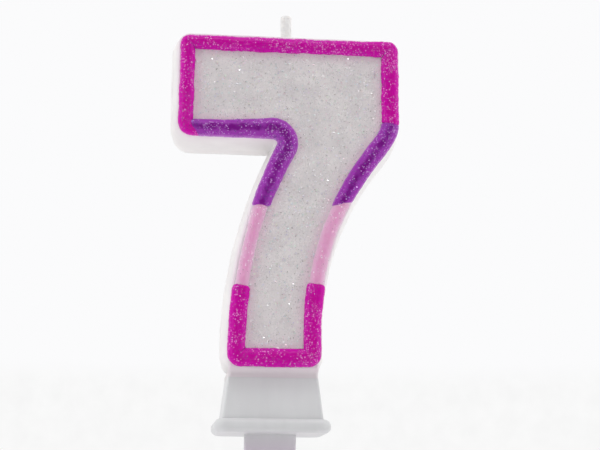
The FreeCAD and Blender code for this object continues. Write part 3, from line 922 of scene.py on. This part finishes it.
@dataclass
class Glitter:
    """Loose hexagons of film that lie in a surface, each tilted its own way.

    Attributes:
        name: the piece's name.
        smallest: least width of a flake, in millimetres.
        largest: greatest width.
        tilt: how far flakes lean, as the spread of the lean's tangent.
        films: the kinds of film that the flakes are cut from.
        shares: how many of the flakes are of each film.
        thickness: of a flake, in millimetres.
    """

    name: str
    smallest: float = 0.14
    largest: float = 0.31
    tilt: float = 0.3
    films: tuple[GlitterFilm, ...] = PANEL_FILMS
    shares: tuple[float, ...] = (0.22, 0.4, 0.12, 0.07, 0.07, 0.12)
    thickness: float = 0.03

    def build(self, centres: np.ndarray, normals: np.ndarray, seed: int) -> bpy.types.Object:
        """Lays one flake at each centre.

        A corner is centre + half a width * (cos t * u + sin t * v) +- half the thickness * n, for
        six angles t, where u, v and the leaned normal n are at right angles.

        Args:
            centres: an (n, 3) array in millimetres.
            normals: the surface's unit normals there.
            seed: picks sizes, leans, turns and films.

        Returns:
            The piece, with its films as materials.
        """
        rng = np.random.default_rng(seed)
        count = len(centres)
        lean = normals + rng.normal(0, self.tilt, (count, 3))
        n = lean / np.linalg.norm(lean, axis=1, keepdims=True)
        u = np.cross(n, rng.normal(0, 1, (count, 3)))
        u /= np.linalg.norm(u, axis=1, keepdims=True)
        v = np.cross(n, u)
        width = self.smallest + (self.largest - self.smallest) * rng.random(count) ** 2.2
        angle = np.arange(6) * math.pi / 3
        spokes = np.cos(angle)[:, None] * u[:, None] + np.sin(angle)[:, None] * v[:, None]
        rim = centres[:, None] + spokes * (width / 2)[:, None, None]
        half = n[:, None] * self.thickness / 2
        vertices = np.concatenate([rim + half, rim - half], 1).reshape(-1, 3)
        one = [(0, 1, 2, 3, 4, 5), (11, 10, 9, 8, 7, 6)]
        one += [(i, i + 6, (i + 1) % 6 + 6, (i + 1) % 6) for i in range(6)]
        faces = [tuple(number + 12 * flake for number in face) for flake in range(count) for face in one]
        thing = make_object(self.name, vertices, faces, sharp_above=30)
        for film in self.films:
            thing.data.materials.append(film.material())
        film = rng.choice(len(self.films), count, p=self.shares)
        thing.data.polygons.foreach_set("material_index", np.repeat(film, len(one)).astype(np.int32))
        return thing


# ------------------------------------------------------------------------- wax


@dataclass
class WaxBody:
    """The cast numeral: a flared front tier, a rear tier with rounded edges, and the neck and tenon.

    Attributes:
        outline: the outline on the face.
        face: the front face's place along Y.
        back: the back face's place along Y.
        flare: growth of the outline from the face to the parting plane.
        draft: how far the rear tier shrinks by the back.
        back_round: radius of the back's edges.
        face_round: radius of the face's edges, under the beads.
        slump: how much lower the rear tier's undersides hang than the front tier's.
        spacing: distance between points round the outline.
        rows: points on each line across a face.
        neck: width and depth of the neck on the holder's rim.
        tenon: width and depth of the part inside the socket.
        corner: radius of the neck's and the tenon's upright corners.
        rim: height of the holder's rim, where the neck starts.
        tenon_end: height of the tenon's lower end.
        draw: how far the neck's rear has drawn in at the top.
        painted_glow_beside: painted pink glow and shade from the beads in the wax right beside them, as a
            share.
        painted_glow_reach: how far back that fades to about a third.
        painted_shade_under: most painted shade, tinted pink, in the wax under the foot bead, as a share.
    """

    outline: Outline
    face: float = FACE
    back: float = 7.5
    flare: float = 1.04
    draft: float = 0.45
    back_round: float = 2.0
    face_round: float = 0.5
    slump: float = 0.9
    spacing: float = 0.6
    rows: int = 26
    neck: tuple[float, float] = (19.7, 13.3)
    tenon: tuple[float, float] = (16.3, 9.9)
    corner: float = 0.7
    rim: float = 11.9
    tenon_end: float = 4.3
    draw: float = 1.2
    painted_glow_beside: float = 0.55
    painted_glow_reach: float = 1.6
    painted_shade_under: float = 0.2

    def profile(self) -> np.ndarray:
        """The steps from the face's edge to the back's edge.

        The face's edge is a quarter circle, the front tier a straight flare, the parting a low
        rounded ridge, the rear tier a straight draft, and the back's edge a quarter circle.

        Returns:
            An (n, 2) array: places along Y, and growths of the outline.
        """
        r, big = self.face_round, self.back_round
        turn, wide = np.linspace(0, math.pi / 2, 6), np.linspace(0, math.pi / 2, 9)
        ridge = np.array([(-0.42, 1.0), (-0.2, 1.05), (-0.06, 1.1), (0.06, 1.1), (0.2, 1.02), (0.45, 0.97)])
        half_ridge, behind = ridge[-1]
        share = np.linspace(0, 1, 7)[1:-1]
        front = np.stack([self.face + r - r * np.cos(turn), r * np.sin(turn) - r], 1)
        flared = np.stack([self.face + r - share * (half_ridge + self.face + r), share * self.flare], 1)
        drafted = np.stack([half_ridge + share * (self.back - big - half_ridge),
                            behind - share * (behind + self.draft)], 1)
        rear = np.stack([self.back - big + big * np.sin(wide), -self.draft - big + big * np.cos(wide)], 1)
        return np.concatenate([front, flared, ridge, drafted, rear])

    def build(self) -> bpy.types.Object:
        """Carries the profile round the outline, closes both faces, and adds the neck and tenon.

        Returns:
            The wax, with its painted pink glow and shade from the beads stored.
        """
        skin = self._skin()
        front, back = leaf(skin[0], self.rows), leaf(skin[-1], self.rows)
        back = back + 0.12 * np.array([0, 1, 0]) * self._sag(back)[..., None]
        sides = skin.reshape(-1, 3), grid_faces(*skin.shape[:2], closed=True, flipped=True)
        thing = make_object("wax_numeral", *joined(sides, patch(front), patch(back, flipped=True),
                                                   self._neck(), self._tenon()))
        merge_seams(thing)
        # stores the painted pink glow and shade from the beads
        mark(thing, "bead_dye_and_glow", self._painted_glow_and_shade(points_of(thing)))
        return thing

    def _skin(self) -> np.ndarray:
        """The sides: the outline grown by the profile, swayed by 0.06 mm, its rear undersides slumped.

        Behind the parting a point hangs lower by slump * the clipped downward share of the outward
        direction, which comes in over 1.5 mm as half a cosine wave.

        Returns:
            An (n, m, 3) array, one ring for each step of the profile.
        """
        places, steps = self.outline.stations(self.spacing), self.profile()
        sway = 0.06 * lumps(places[None, :], 4 * steps[:, :1], 9.0, SEED)
        rings = self.outline.at(places[None, :], steps[:, 1:] + sway)
        behind = 0.5 - 0.5 * np.cos(math.pi * np.clip(steps[:, :1] / 1.5, 0, 1))
        rings[..., 1] -= self.slump * behind * np.clip(-2.5 * self.outline.outward(places)[:, 1], 0, 1)
        depth = np.broadcast_to(steps[:, :1], rings.shape[:2])
        return np.stack([rings[..., 0], depth, rings[..., 1]], -1)

    def _painted_glow_and_shade(self, points: np.ndarray) -> np.ndarray:
        """How much painted pink glow and shade from the beads the wax takes.

        Beside the beads it is painted_glow_beside * e^(-distance behind the face / painted_glow_reach).
        Under the foot bead it is painted_shade_under between two ramps, at heights of 11.0 to 13.2 mm
        and 12.2 to 14.6 mm, and it grows towards the face.

        Args:
            points: an (n, 3) array in millimetres.

        Returns:
            The larger of the two shares at each point.
        """
        # painted shade under the foot bead, tinted pink
        low = np.clip((14.6 - points[:, 2]) / 2.4, 0, 1) * np.clip((points[:, 2] - 11.0) / 2.2, 0, 1)
        under = low * np.clip(-points[:, 1] / 6 - 0.3, 0, 1) * self.painted_shade_under
        # painted pink glow and shade beside the beads
        beside = self.painted_glow_beside * np.exp(-np.clip(points[:, 1] - self.face, 0, None) / self.painted_glow_reach)
        return np.maximum(under, beside)

    @staticmethod
    def _sag(grid: np.ndarray) -> np.ndarray:
        """Shallow sinks in the poured back, 12 mm across, fading to nothing at its edges.

        Args:
            grid: the back's points.

        Returns:
            Values between about -2 and 0, one per point.
        """
        fade = np.outer(*(np.sin(np.linspace(0, math.pi, count)).clip(0) ** 0.6 for count in grid.shape[:2]))
        return fade * (lumps(grid[..., 0], grid[..., 2], 12.0, SEED + 1) - 1)

    def _neck(self) -> Shell:
        """The neck, upright from the rim, then swelling forwards in a half wave to the face.

        The swell starts at 12.7 mm and takes 1.5 mm. The rear draws in from 12.9 mm, over 1.6 mm, so
        that its corners stay inside the body's. A ring is a rectangle with round corners:
        sign(d) * (half the size - corner) + d * corner, for directions d round a circle.

        Returns:
            Vertices and faces.
        """
        around = circle(40, 0.5)
        height = np.concatenate([[self.rim], np.linspace(self.rim + 0.1, 14.4, 14), [16.0]])
        swell = 0.5 - 0.5 * np.cos(math.pi * np.clip((height - 12.7) / 1.5, 0, 1))
        inset = self.draw * np.clip((height - 12.9) / 1.6, 0, 1)[:, None, None] * (around[None, :, 1:] > 0)
        half = np.array(self.neck) / 2
        flat = np.sign(around)[None] * (half - self.corner - inset) + around[None] * self.corner
        forward = (-self.face - 0.1 - half[1]) * swell
        flat[..., 1] -= np.where(flat[..., 1] < 0, forward[:, None], 0)
        return tube(np.concatenate([flat, np.broadcast_to(height[:, None, None], (*flat.shape[:2], 1))], -1))

    def _tenon(self) -> Shell:
        """The tenon, a block with round corners like the neck's, 0.1 mm wider all round at its top.

        Returns:
            Vertices and faces.
        """
        around, low, high = circle(40, 0.5), self.tenon_end, 12.5
        rings = []
        for height, inset in ((low, 0.06), (low + 0.06, 0.0), (0.5 * (low + high), -0.05), (high, -0.1)):
            half = np.array(self.tenon) / 2 - inset
            flat = np.sign(around) * (half - self.corner) + around * self.corner
            rings.append(np.column_stack([flat, np.full(len(around), height)]))
        return tube(np.array(rings))


@dataclass
class GlitterPanel:
    """The brushed glitter coat inside the beads, and the loose flakes lying in it.

    Attributes:
        outline: the outline on the face.
        top: the coat's place along Y.
        under: the same of its underside, inside the wax.
        edge: growth of the coat's edge, hidden under the beads.
        rows: points on each line across the coat.
        flakes: how many loose flakes it has.
    """

    outline: Outline
    top: float = -8.35
    under: float = -7.8
    edge: float = -3.1
    rows: int = 44
    flakes: int = 4200

    def build(self) -> tuple[bpy.types.Object, bpy.types.Object]:
        """Makes the coat as a thin closed sheet with brush marks, and scatters its flakes.

        The marks are 0.07 mm bumps 4 mm across and 0.03 mm bumps 1.6 mm across.

        Returns:
            The coat, with its blush stored, and the flakes.
        """
        ring = self.outline.at(self.outline.stations(0.7), self.edge)
        grid = leaf(np.column_stack([ring[:, 0], np.zeros(len(ring)), ring[:, 1]]), self.rows)
        across, up = grid[..., 0], grid[..., 2]
        upper, lower = grid.copy(), grid.copy()
        upper[..., 1] = self.top + 0.07 * lumps(across, up, 4.0, SEED + 2) + 0.03 * lumps(across, up, 1.6, 3)
        lower[..., 1] = self.under
        rim = np.array([np.concatenate([sheet[0], sheet[-1, -2:0:-1]]) for sheet in (upper, lower)])
        side = rim.reshape(-1, 3), grid_faces(*rim.shape[:2], closed=True, flipped=True)
        coat = make_object("glitter_coat", *joined(patch(upper), patch(lower, flipped=True), side))
        merge_seams(coat)
        near = self._edge_distance(points_of(coat)[:, [0, 2]])
        mark(coat, "bead_dye_and_glow", 0.85 * np.exp(-(near / 1.1) ** 1.2))
        return coat, self._scatter(ring)

    def _edge_distance(self, points: np.ndarray) -> np.ndarray:
        """How far points are from the beads' inner edges.

        Args:
            points: an (n, 2) array in millimetres.

        Returns:
            One distance per point.
        """
        line = self.outline.at(np.linspace(0, self.outline.length, 900), -BEAD_WIDTH)
        return np.array([np.linalg.norm(line - point, axis=1).min() for point in points])

    def _scatter(self, ring: np.ndarray) -> bpy.types.Object:
        """Random flakes in the coat's top, none outside its edge.

        Args:
            ring: the coat's edge, across and up.

        Returns:
            The flakes, as one piece.
        """
        rng = np.random.default_rng(SEED + 5)
        low, high = ring.min(0), ring.max(0)
        tries = low + (high - low) * rng.random((self.flakes * 3, 2))
        spots = tries[inside(tries, ring)][: self.flakes]
        centres = np.column_stack([spots[:, 0], np.full(len(spots), self.top - 0.05), spots[:, 1]])
        return Glitter("panel_glitter").build(centres, np.tile([0.0, -1.0, 0.0], (len(spots), 1)), SEED + 6)


@dataclass
class PipedBead:
    """One half-round bead of gel, between two places along the outline.

    Attributes:
        outline: the outline on the face.
        name: the piece's name.
        node: the CAD node that it stands for.
        tint: its gel.
        seed: picks its unevenness.
        start: the place where it starts, in millimetres along the outline.
        end: the place where it ends.
        outer: growths of its outer edge, evenly spaced from start to end.
        inner: growths of its inner edge, likewise.
        start_skew: how much further along the outer edge starts than the middle.
        end_skew: how much further along the outer edge ends.
        cap: length of its rounded ends.
        ragged: unevenness of its edges, in millimetres.
        height: of its crest above the face.
        flank: how gently its flanks rise, as the sine's power.
    """

    outline: Outline
    name: str
    node: str
    tint: Tint
    seed: int
    start: float
    end: float
    outer: tuple[float, ...]
    inner: tuple[float, ...]
    start_skew: float = 0.0
    end_skew: float = 0.0
    cap: float = 0.7
    ragged: float = 0.05
    height: float = 1.68
    flank: float = 1.15

    def surface(self, share: np.ndarray, turn: np.ndarray) -> tuple[np.ndarray, np.ndarray, np.ndarray]:
        """Points of the bead's round.

        With s = cos(turn), from 1 at the outer edge to -1 at the inner edge, a point lies at the
        middle growth + s * half the width * (0.4 + 0.6 cap), and stands height * sin(turn)^flank *
        (0.1 + 0.9 cap) off the face, where cap is a quarter circle at both ends of the bead. The
        edges wander by waves of 9, 7 and about 2 mm, and the height swells by 6% over 11 mm.

        Args:
            share: places along the bead, from 0 to 1.
            turn: places over the round, from 0 at the outer edge to pi at the inner edge.

        Returns:
            The points, their unit normals, and their depths from 0 to 1.
        """
        share, turn = np.broadcast_arrays(share, turn)
        across = np.cos(turn)
        reach = self.end - self.start
        place = self.start + reach * share
        skewed = place + across * (self.start_skew * (1 - share) + self.end_skew * share)
        near = np.minimum(share, 1 - share) * reach
        cap = np.sqrt(np.clip(1 - (1 - np.clip(near / self.cap, 0, 1)) ** 2, 0, 1))
        outer = np.interp(share, np.linspace(0, 1, len(self.outer)), self.outer)
        inner = np.interp(share, np.linspace(0, 1, len(self.inner)), self.inner)
        outer = outer + self.ragged * (ripple(place, 9.0, self.seed)
                                       + 0.6 * ripple(place, 1.7, self.seed + 1))
        inner = inner + self.ragged * (ripple(place, 7.0, self.seed + 2)
                                       + 0.6 * ripple(place, 1.9, self.seed + 3))
        half = (outer - inner) / 2 * (0.4 + 0.6 * cap)
        flat = self.outline.at(skewed, (outer + inner) / 2 + half * across)
        crown = np.sin(turn) ** self.flank
        swell = (1 + 0.06 * ripple(place, 11.0, self.seed + 4)
                 + 0.035 * lumps(place, 2.1 * turn, 1.5, self.seed + 5))
        rise = self.height * crown * swell * (0.1 + 0.9 * cap)
        points = np.stack([flat[..., 0], FACE - rise, flat[..., 1]], -1)
        out = self.outline.outward(skewed)
        tip = np.stack([across * out[..., 0], -np.sin(turn), across * out[..., 1]], -1)
        depth = np.broadcast_to(crown * (0.3 + 0.7 * cap), share.shape)
        return points, tip / np.linalg.norm(tip, axis=-1, keepdims=True), depth

    def build(self) -> bpy.types.Object:
        """Makes the bead as a closed skin: its round, and a flat base 0.3 mm inside the wax.

        Returns:
            The bead, with its depth stored and its gel on.
        """
        reach = self.end - self.start
        close = self.cap / reach * (1 - np.cos(np.linspace(0.12, math.pi / 2, 8)))
        run = np.linspace(self.cap / reach, 1 - self.cap / reach, max(8, int(reach / 0.3)))
        share = np.concatenate([close[:-1], run, 1 - close[-2::-1]])[:, None]
        turn = np.linspace(0, math.pi, 21)[None, :]
        points, _, depth = self.surface(share, turn)
        middle = points.mean(1, keepdims=True)
        base = middle + (points[:, [-1, 0]] - middle) * 0.97
        base[..., 1] = FACE + 0.3
        vertices, faces = tube(np.concatenate([points, base], 1)[:, ::-1])
        thing = make_object(self.name, vertices, faces, sharp_above=75)
        stored = np.concatenate([depth, np.zeros((len(depth), 2))], 1)[:, ::-1].ravel()
        mark(thing, "depth", np.concatenate([stored, [0.2, 0.2]]))
        self.tint.value.put_on(thing)
        return thing

    def spots(self, per_mm: float, seed: int) -> tuple[np.ndarray, np.ndarray]:
        """Random places for flakes on the bead, in clusters 7 mm across.

        Args:
            per_mm: flakes for each millimetre of the bead's length.
            seed: picks the places.

        Returns:
            The places and the unit normals there.
        """
        rng = np.random.default_rng(seed)
        count = int((self.end - self.start) * per_mm)
        share = rng.random(count * 3)
        turn = rng.uniform(0.25, math.pi - 0.25, count * 3)
        crowd = 0.5 + 0.5 * lumps(share * (self.end - self.start), 2.1 * turn, 7.0, seed)
        kept = rng.random(count * 3) < np.clip(crowd, 0.04, 1) ** 1.5
        points, normals, _ = self.surface(share[kept], turn[kept])
        return points[:count], normals[:count]


@dataclass
class Wick:
    """A braided cotton wick with a thin coat of wax, rounded at the tip."""

    x: float = 2.725
    foot: float = 16.0           # height of its lower end
    out: float = 89.44           # height at which it leaves the wax
    tip: float = 96.84
    coat: float = 1.28           # radius over its wax
    collar: float = 1.75         # radius of the wax drawn up round its foot
    strand: float = 0.34         # radius of a strand
    lay: float = 4.2             # length of one turn of the plait

    def build_braid(self) -> bpy.types.Object:
        """A flat plait of three strands: x = 0.4 sin t, y = 0.25 sin 2t, each a third of a turn on.

        Returns:
            The plait.
        """
        height = np.arange(self.foot, self.tip - 0.55, 0.3)
        ring = np.column_stack([circle(8), np.zeros(8)]) * self.strand
        shells = []
        for number in range(3):
            t = 2 * math.pi * (height / self.lay + number / 3)
            middle = np.column_stack([self.x + 0.4 * np.sin(t), 0.25 * np.sin(2 * t), height])
            shells.append(tube(middle[:, None] + ring[None]))
        return make_object("wick_plait", *joined(*shells))

    def build_coat(self) -> bpy.types.Object:
        """A round rod: the collar's fillet, slight waves and braid marks, and a domed tip.

        Its radius is (coat + fillet) * (1 + 0.035 braid marks + 0.02 waves) * (1 - 0.92 close^2.4),
        where close runs from 0 to 1 over the tip's last 0.7 mm.

        Returns:
            The wax coat.
        """
        low = self.out + np.array([0.0, 0.12, 0.3, 0.5, 0.7])
        high = np.arange(self.out + 0.8, self.tip - 0.7, 0.16)
        dome = self.tip - 0.7 * (1 - np.sin(np.linspace(0, math.pi / 2 * 0.96, 8)))
        height = np.concatenate([low, high, dome])[:, None]
        angle = np.linspace(0, 2 * math.pi, 28, endpoint=False)[None, :]
        fillet = (self.collar - self.coat) * np.clip(1 - (height - self.out) / 0.8, 0, 1) ** 2
        close = np.clip((height - self.tip + 0.7) / 0.7, 0, 1)
        climb = 2 * math.pi * height / 1.4
        marks = 0.035 * np.sin(4 * angle + climb) * np.sin(4 * angle - climb)
        waves = 0.02 * ripple(height, 4.0, SEED)
        radius = (self.coat + fillet) * (1 + marks * (1 - close) + waves) * (1 - 0.92 * close ** 2.4)
        lean = 0.05 * (height - self.out) / (self.tip - self.out)
        rings = np.stack([self.x + radius * np.cos(angle) - lean, radius * np.sin(angle),
                          np.broadcast_to(height, radius.shape)], -1)
        return make_object("waxed_wick", *tube(rings))


@dataclass
class Candle:
    """The numeral with all that is cast, brushed, piped and set into it."""

    outline: Outline = field(default_factory=Outline)
    foot_top: float = 32.1       # height at which magenta meets pink
    pink_top: float = 50.2       # height at which pink meets purple
    shoulder: float = 69.7       # height at which purple meets magenta on the right

    def beads(self) -> list[PipedBead]:
        """The six beads, in order round the outline from the foot up its right side.

        Returns:
            The beads, whose ends run a little way into one another.
        """
        line = self.outline
        right = [line.place_of(height, True) for height in (self.foot_top, self.pink_top, self.shoulder)]
        left = [line.place_of(height, False) for height in (self.foot_top, self.pink_top)]
        corner = line.bend_place(5)
        pink = {"height": 1.45, "flank": 1.6}
        return [
            PipedBead(line, "foot_bead", "bead_magenta_foot", Tint.MAGENTA, 11,
                      left[0] - line.length - 0.2, right[0] + 0.3, (-0.1, -0.2, -0.1, 0.0, -0.1, -0.1, 0.2),
                      (-4.15, -4.15, -4.15), cap=1.2, ragged=0.07, height=1.75),
            PipedBead(line, "right_pink_bead", "bead_pink_right", Tint.PINK, 21,
                      right[0] - 0.6, right[1] + 0.7, (-0.25, -0.25, -0.1), (-3.9, -3.9, -3.9),
                      end_skew=0.6, **pink),
            PipedBead(line, "right_purple_bead", "bead_purple_right", Tint.PURPLE, 31,
                      right[1] - 1.2, right[2] - 0.1, (0.0, 0.2, 0.25, 0.2), (-3.9, -4.0, -4.1, -4.0),
                      start_skew=1.5, cap=1.2),
            PipedBead(line, "upper_bead", "bead_magenta_upper", Tint.MAGENTA, 41,
                      right[2] - 0.9, corner + 1.9, (0.0, -0.1, -0.5, -0.5, -0.55, -0.45, -0.1),
                      (-4.1, -4.2, -4.0, -4.1, -4.1, -3.8, -3.7), end_skew=1.4, ragged=0.11),
            PipedBead(line, "left_purple_bead", "bead_purple_left", Tint.PURPLE, 51,
                      corner + 0.9, left[1] + 0.2, (0.0, 0.0, 0.1, 0.1, 0.0),
                      (-3.9, -4.1, -4.9, -4.5, -4.1), start_skew=1.4, end_skew=0.5, ragged=0.06),
            PipedBead(line, "left_pink_bead", "bead_pink_left", Tint.PINK, 61,
                      left[1] - 0.6, left[0] + 0.6, (-0.3, -0.6, -0.6), (-3.8, -3.8, -3.8), **pink),
        ]

    def build(self) -> list[bpy.types.Object]:
        """Makes every piece, dresses it, and sets it on the numeral's body.

        Returns:
            The pieces.
        """
        wax = WaxBody(self.outline).build()
        CastParaffin().put_on(wax)
        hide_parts("wax_body")
        coat, flakes = GlitterPanel(self.outline).build()
        GlitterGelCoat().put_on(coat)
        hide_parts("glitter_panel")
        pieces = [wax, coat, flakes]
        for number, bead in enumerate(self.beads()):
            piece = bead.build()
            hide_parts(bead.node)
            gel = bead.tint.value
            films = tuple(GlitterFilm(f"{gel.name}_film_{i}", tint) for i, tint in enumerate(gel.films))
            glitter = Glitter(f"{bead.name}_glitter", 0.1, 0.27, tilt=0.35, films=films, shares=GEL_SHARES)
            spots = glitter.build(*bead.spots(gel.flakes_per_mm, SEED + 20 + number), SEED + 40 + number)
            pieces += [piece, spots]
        wick = Wick()
        plait, dipped = wick.build_braid(), wick.build_coat()
        for part, node, slot in ((plait, "wick_braid", "wick_cotton"), (dipped, "wick_wax_coat", "wick_wax")):
            WaxedCotton().put_on(part)
            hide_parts(node)
        pieces += [plait, dipped]
        for piece in pieces:
            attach(piece, NUMERAL)
        return pieces


@dataclass
class Holder:
    """The moulded holder: the CAD shape, with its plastic."""

    node: str = "holder"

    def dress(self) -> bpy.types.Object:
        """Gives the holder its finish.

        Returns:
            The holder.
        """
        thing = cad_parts[self.node]
        MouldedPolypropylene().put_on(thing)
        return thing


# ------------------------------------------------------------------------- studio


@dataclass
class Studio:
    """A pale floor, even light that is dimmer from the front, and the camera.

    Attributes:
        floor_height: of the board, in millimetres.
        level: strength of the light from the sides, above and below.
        front_dip: how much weaker it is from straight in front.
        rear_dip: how much weaker it is from straight behind.
        wall: the colour seen above the table's far edge.
        table: the two colours seen below it.
        table_edge: how high that edge lies, as the sines of its lower and upper elevations.
        table_grain: how many grains the table has in a radian.
        target: the point that the camera looks at, in millimetres.
        distance: from the target to the camera, in millimetres.
        azimuth: the camera's bearing from straight in front, in degrees, minus to the left.
        elevation: its angle above the target, in degrees, minus below.
        roll: its tilt, in degrees.
        lens: its focal length, in millimetres.
    """

    floor_height: float = -30.0
    level: float = 1.15
    front_dip: float = 0.86
    rear_dip: float = 0.24
    wall: str = "#FBFBFC"
    table: tuple[str, str] = ("#F4F4F4", "#FCFCFC")
    table_edge: tuple[float, float] = (0.094, 0.112)
    table_grain: float = 90.0
    target: tuple[float, float, float] = (5.43, -7.76, 45.62)
    distance: float = 331.6
    azimuth: float = -6.5
    elevation: float = -11.6
    roll: float = 0.4
    lens: float = 90.0

    def floor(self) -> None:
        """A round board 3 m across: rings of growing reach at one height."""
        reach = np.array([0.0, 150, 400, 800, 1500])
        flat = reach[:, None, None] * circle(48)
        rings = np.concatenate([flat, np.full((*flat.shape[:2], 1), self.floor_height)], -1)
        board = make_object("floor_board", *tube(rings, capped=False))
        PaleFloor().put_on(board)

    def world(self) -> None:
        """Light from all round, dimmer from the front and a little dimmer from the back.

        What the camera and the shines see instead is a white wall over a table's pale foam.
        """
        world = bpy.data.worlds.new("soft_studio")
        world.use_nodes = True
        tree = world.node_tree
        tree.nodes.clear()
        way = add_node(tree, "TexCoord")
        axes = add_node(tree, "SeparateXYZ", {0: way.outputs["Generated"]})
        level = add_node(tree, "MapRange", {0: axes.outputs[1], 1: -1.0, 2: 0.0,
                                            3: self.level - self.front_dip, 4: self.level})
        rear = add_node(tree, "MapRange", {0: axes.outputs[1], 1: 0.0, 2: 1.0, 3: 0.0, 4: self.rear_dip})
        evened = add_node(tree, "Math", {0: level.outputs[0], 1: rear.outputs[0]}, operation="SUBTRACT")
        light = add_node(tree, "Background", {"Color": linear("#FFFFFF"), "Strength": evened.outputs[0]})
        edge = add_node(tree, "MapRange", {0: axes.outputs[2], 1: self.table_edge[0], 2: self.table_edge[1]},
                        interpolation_type="SMOOTHSTEP")
        grain = add_node(tree, "TexNoise", {"Vector": way.outputs["Generated"], "Scale": self.table_grain,
                                            "Detail": 3.0})
        table = add_node(tree, "Mix", {0: grain.outputs[0], 6: linear(self.table[0]),
                                       7: linear(self.table[1])}, data_type="RGBA")
        wall = add_node(tree, "Mix", {0: edge.outputs[0], 6: table.outputs[2], 7: linear(self.wall)},
                        data_type="RGBA")
        seen = add_node(tree, "Background", {"Color": wall.outputs[2], "Strength": 1.0})
        path = add_node(tree, "LightPath")
        some = add_node(tree, "Math", {0: path.outputs["Is Camera Ray"], 1: path.outputs["Is Glossy Ray"]},
                        operation="MAXIMUM")
        every = add_node(tree, "Math", {0: some.outputs[0], 1: path.outputs["Is Transmission Ray"]},
                         operation="MAXIMUM")
        mix = add_node(tree, "MixShader", {0: every.outputs[0], 1: light.outputs[0], 2: seen.outputs[0]})
        add_node(tree, "OutputWorld", {"Surface": mix.outputs[0]})
        bpy.context.scene.world = world

    def lamps(self) -> None:
        """A long soft lamp overhead and one at each side, for the shine on the beads."""
        for name, place, size, power in (("overhead_lamp", (20, -170, 420), (300, 80), 0.36),
                                         ("left_lamp", (-380, -160, 170), (25, 260), 0.22),
                                         ("right_lamp", (400, -120, 150), (25, 260), 0.22)):
            data = bpy.data.lights.new(name, "AREA")
            data.shape = "RECTANGLE"
            data.size, data.size_y = (side * MM for side in size)
            data.energy = power
            lamp = bpy.data.objects.new(name, data)
            lamp.location = Vector(place) * MM
            lamp.rotation_euler = (Vector((0, 0, 0.05)) - lamp.location).to_track_quat("-Z", "Y").to_euler()
            bpy.context.scene.collection.objects.link(lamp)

    def camera(self) -> None:
        """A 90 mm lens, looking up at the numeral from its left."""
        turn, lift = math.radians(self.azimuth), math.radians(self.elevation)
        back = Vector((math.sin(turn) * math.cos(lift), -math.cos(turn) * math.cos(lift), math.sin(lift)))
        data = bpy.data.cameras.new("camera")
        data.lens, data.sensor_width = self.lens, 36.0
        data.clip_start, data.clip_end = 0.01, 10.0
        eye = bpy.data.objects.new("camera", data)
        eye.matrix_world = (Matrix.Translation((Vector(self.target) + back * self.distance) * MM)
                            @ (-back).to_track_quat("-Z", "Y").to_matrix().to_4x4()
                            @ Matrix.Rotation(math.radians(self.roll), 4, "Z"))
        bpy.context.scene.collection.objects.link(eye)
        bpy.context.scene.camera = eye

    def build(self) -> None:
        """Sets everything up around the object."""
        self.floor()
        self.world()
        self.lamps()
        self.camera()
        bpy.context.scene.view_settings.view_transform = "Standard"


def main() -> None:
    """Builds the object and its studio, and logs how many faces each piece has."""
    logging.basicConfig(level=logging.INFO, format="%(name)s: %(message)s")
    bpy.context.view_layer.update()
    Studio().build()
    for piece in [*Candle().build(), Holder().dress()]:
        log.info("%s: %d faces", piece.name, len(piece.data.polygons))


if __name__ == "__main__":
    main()
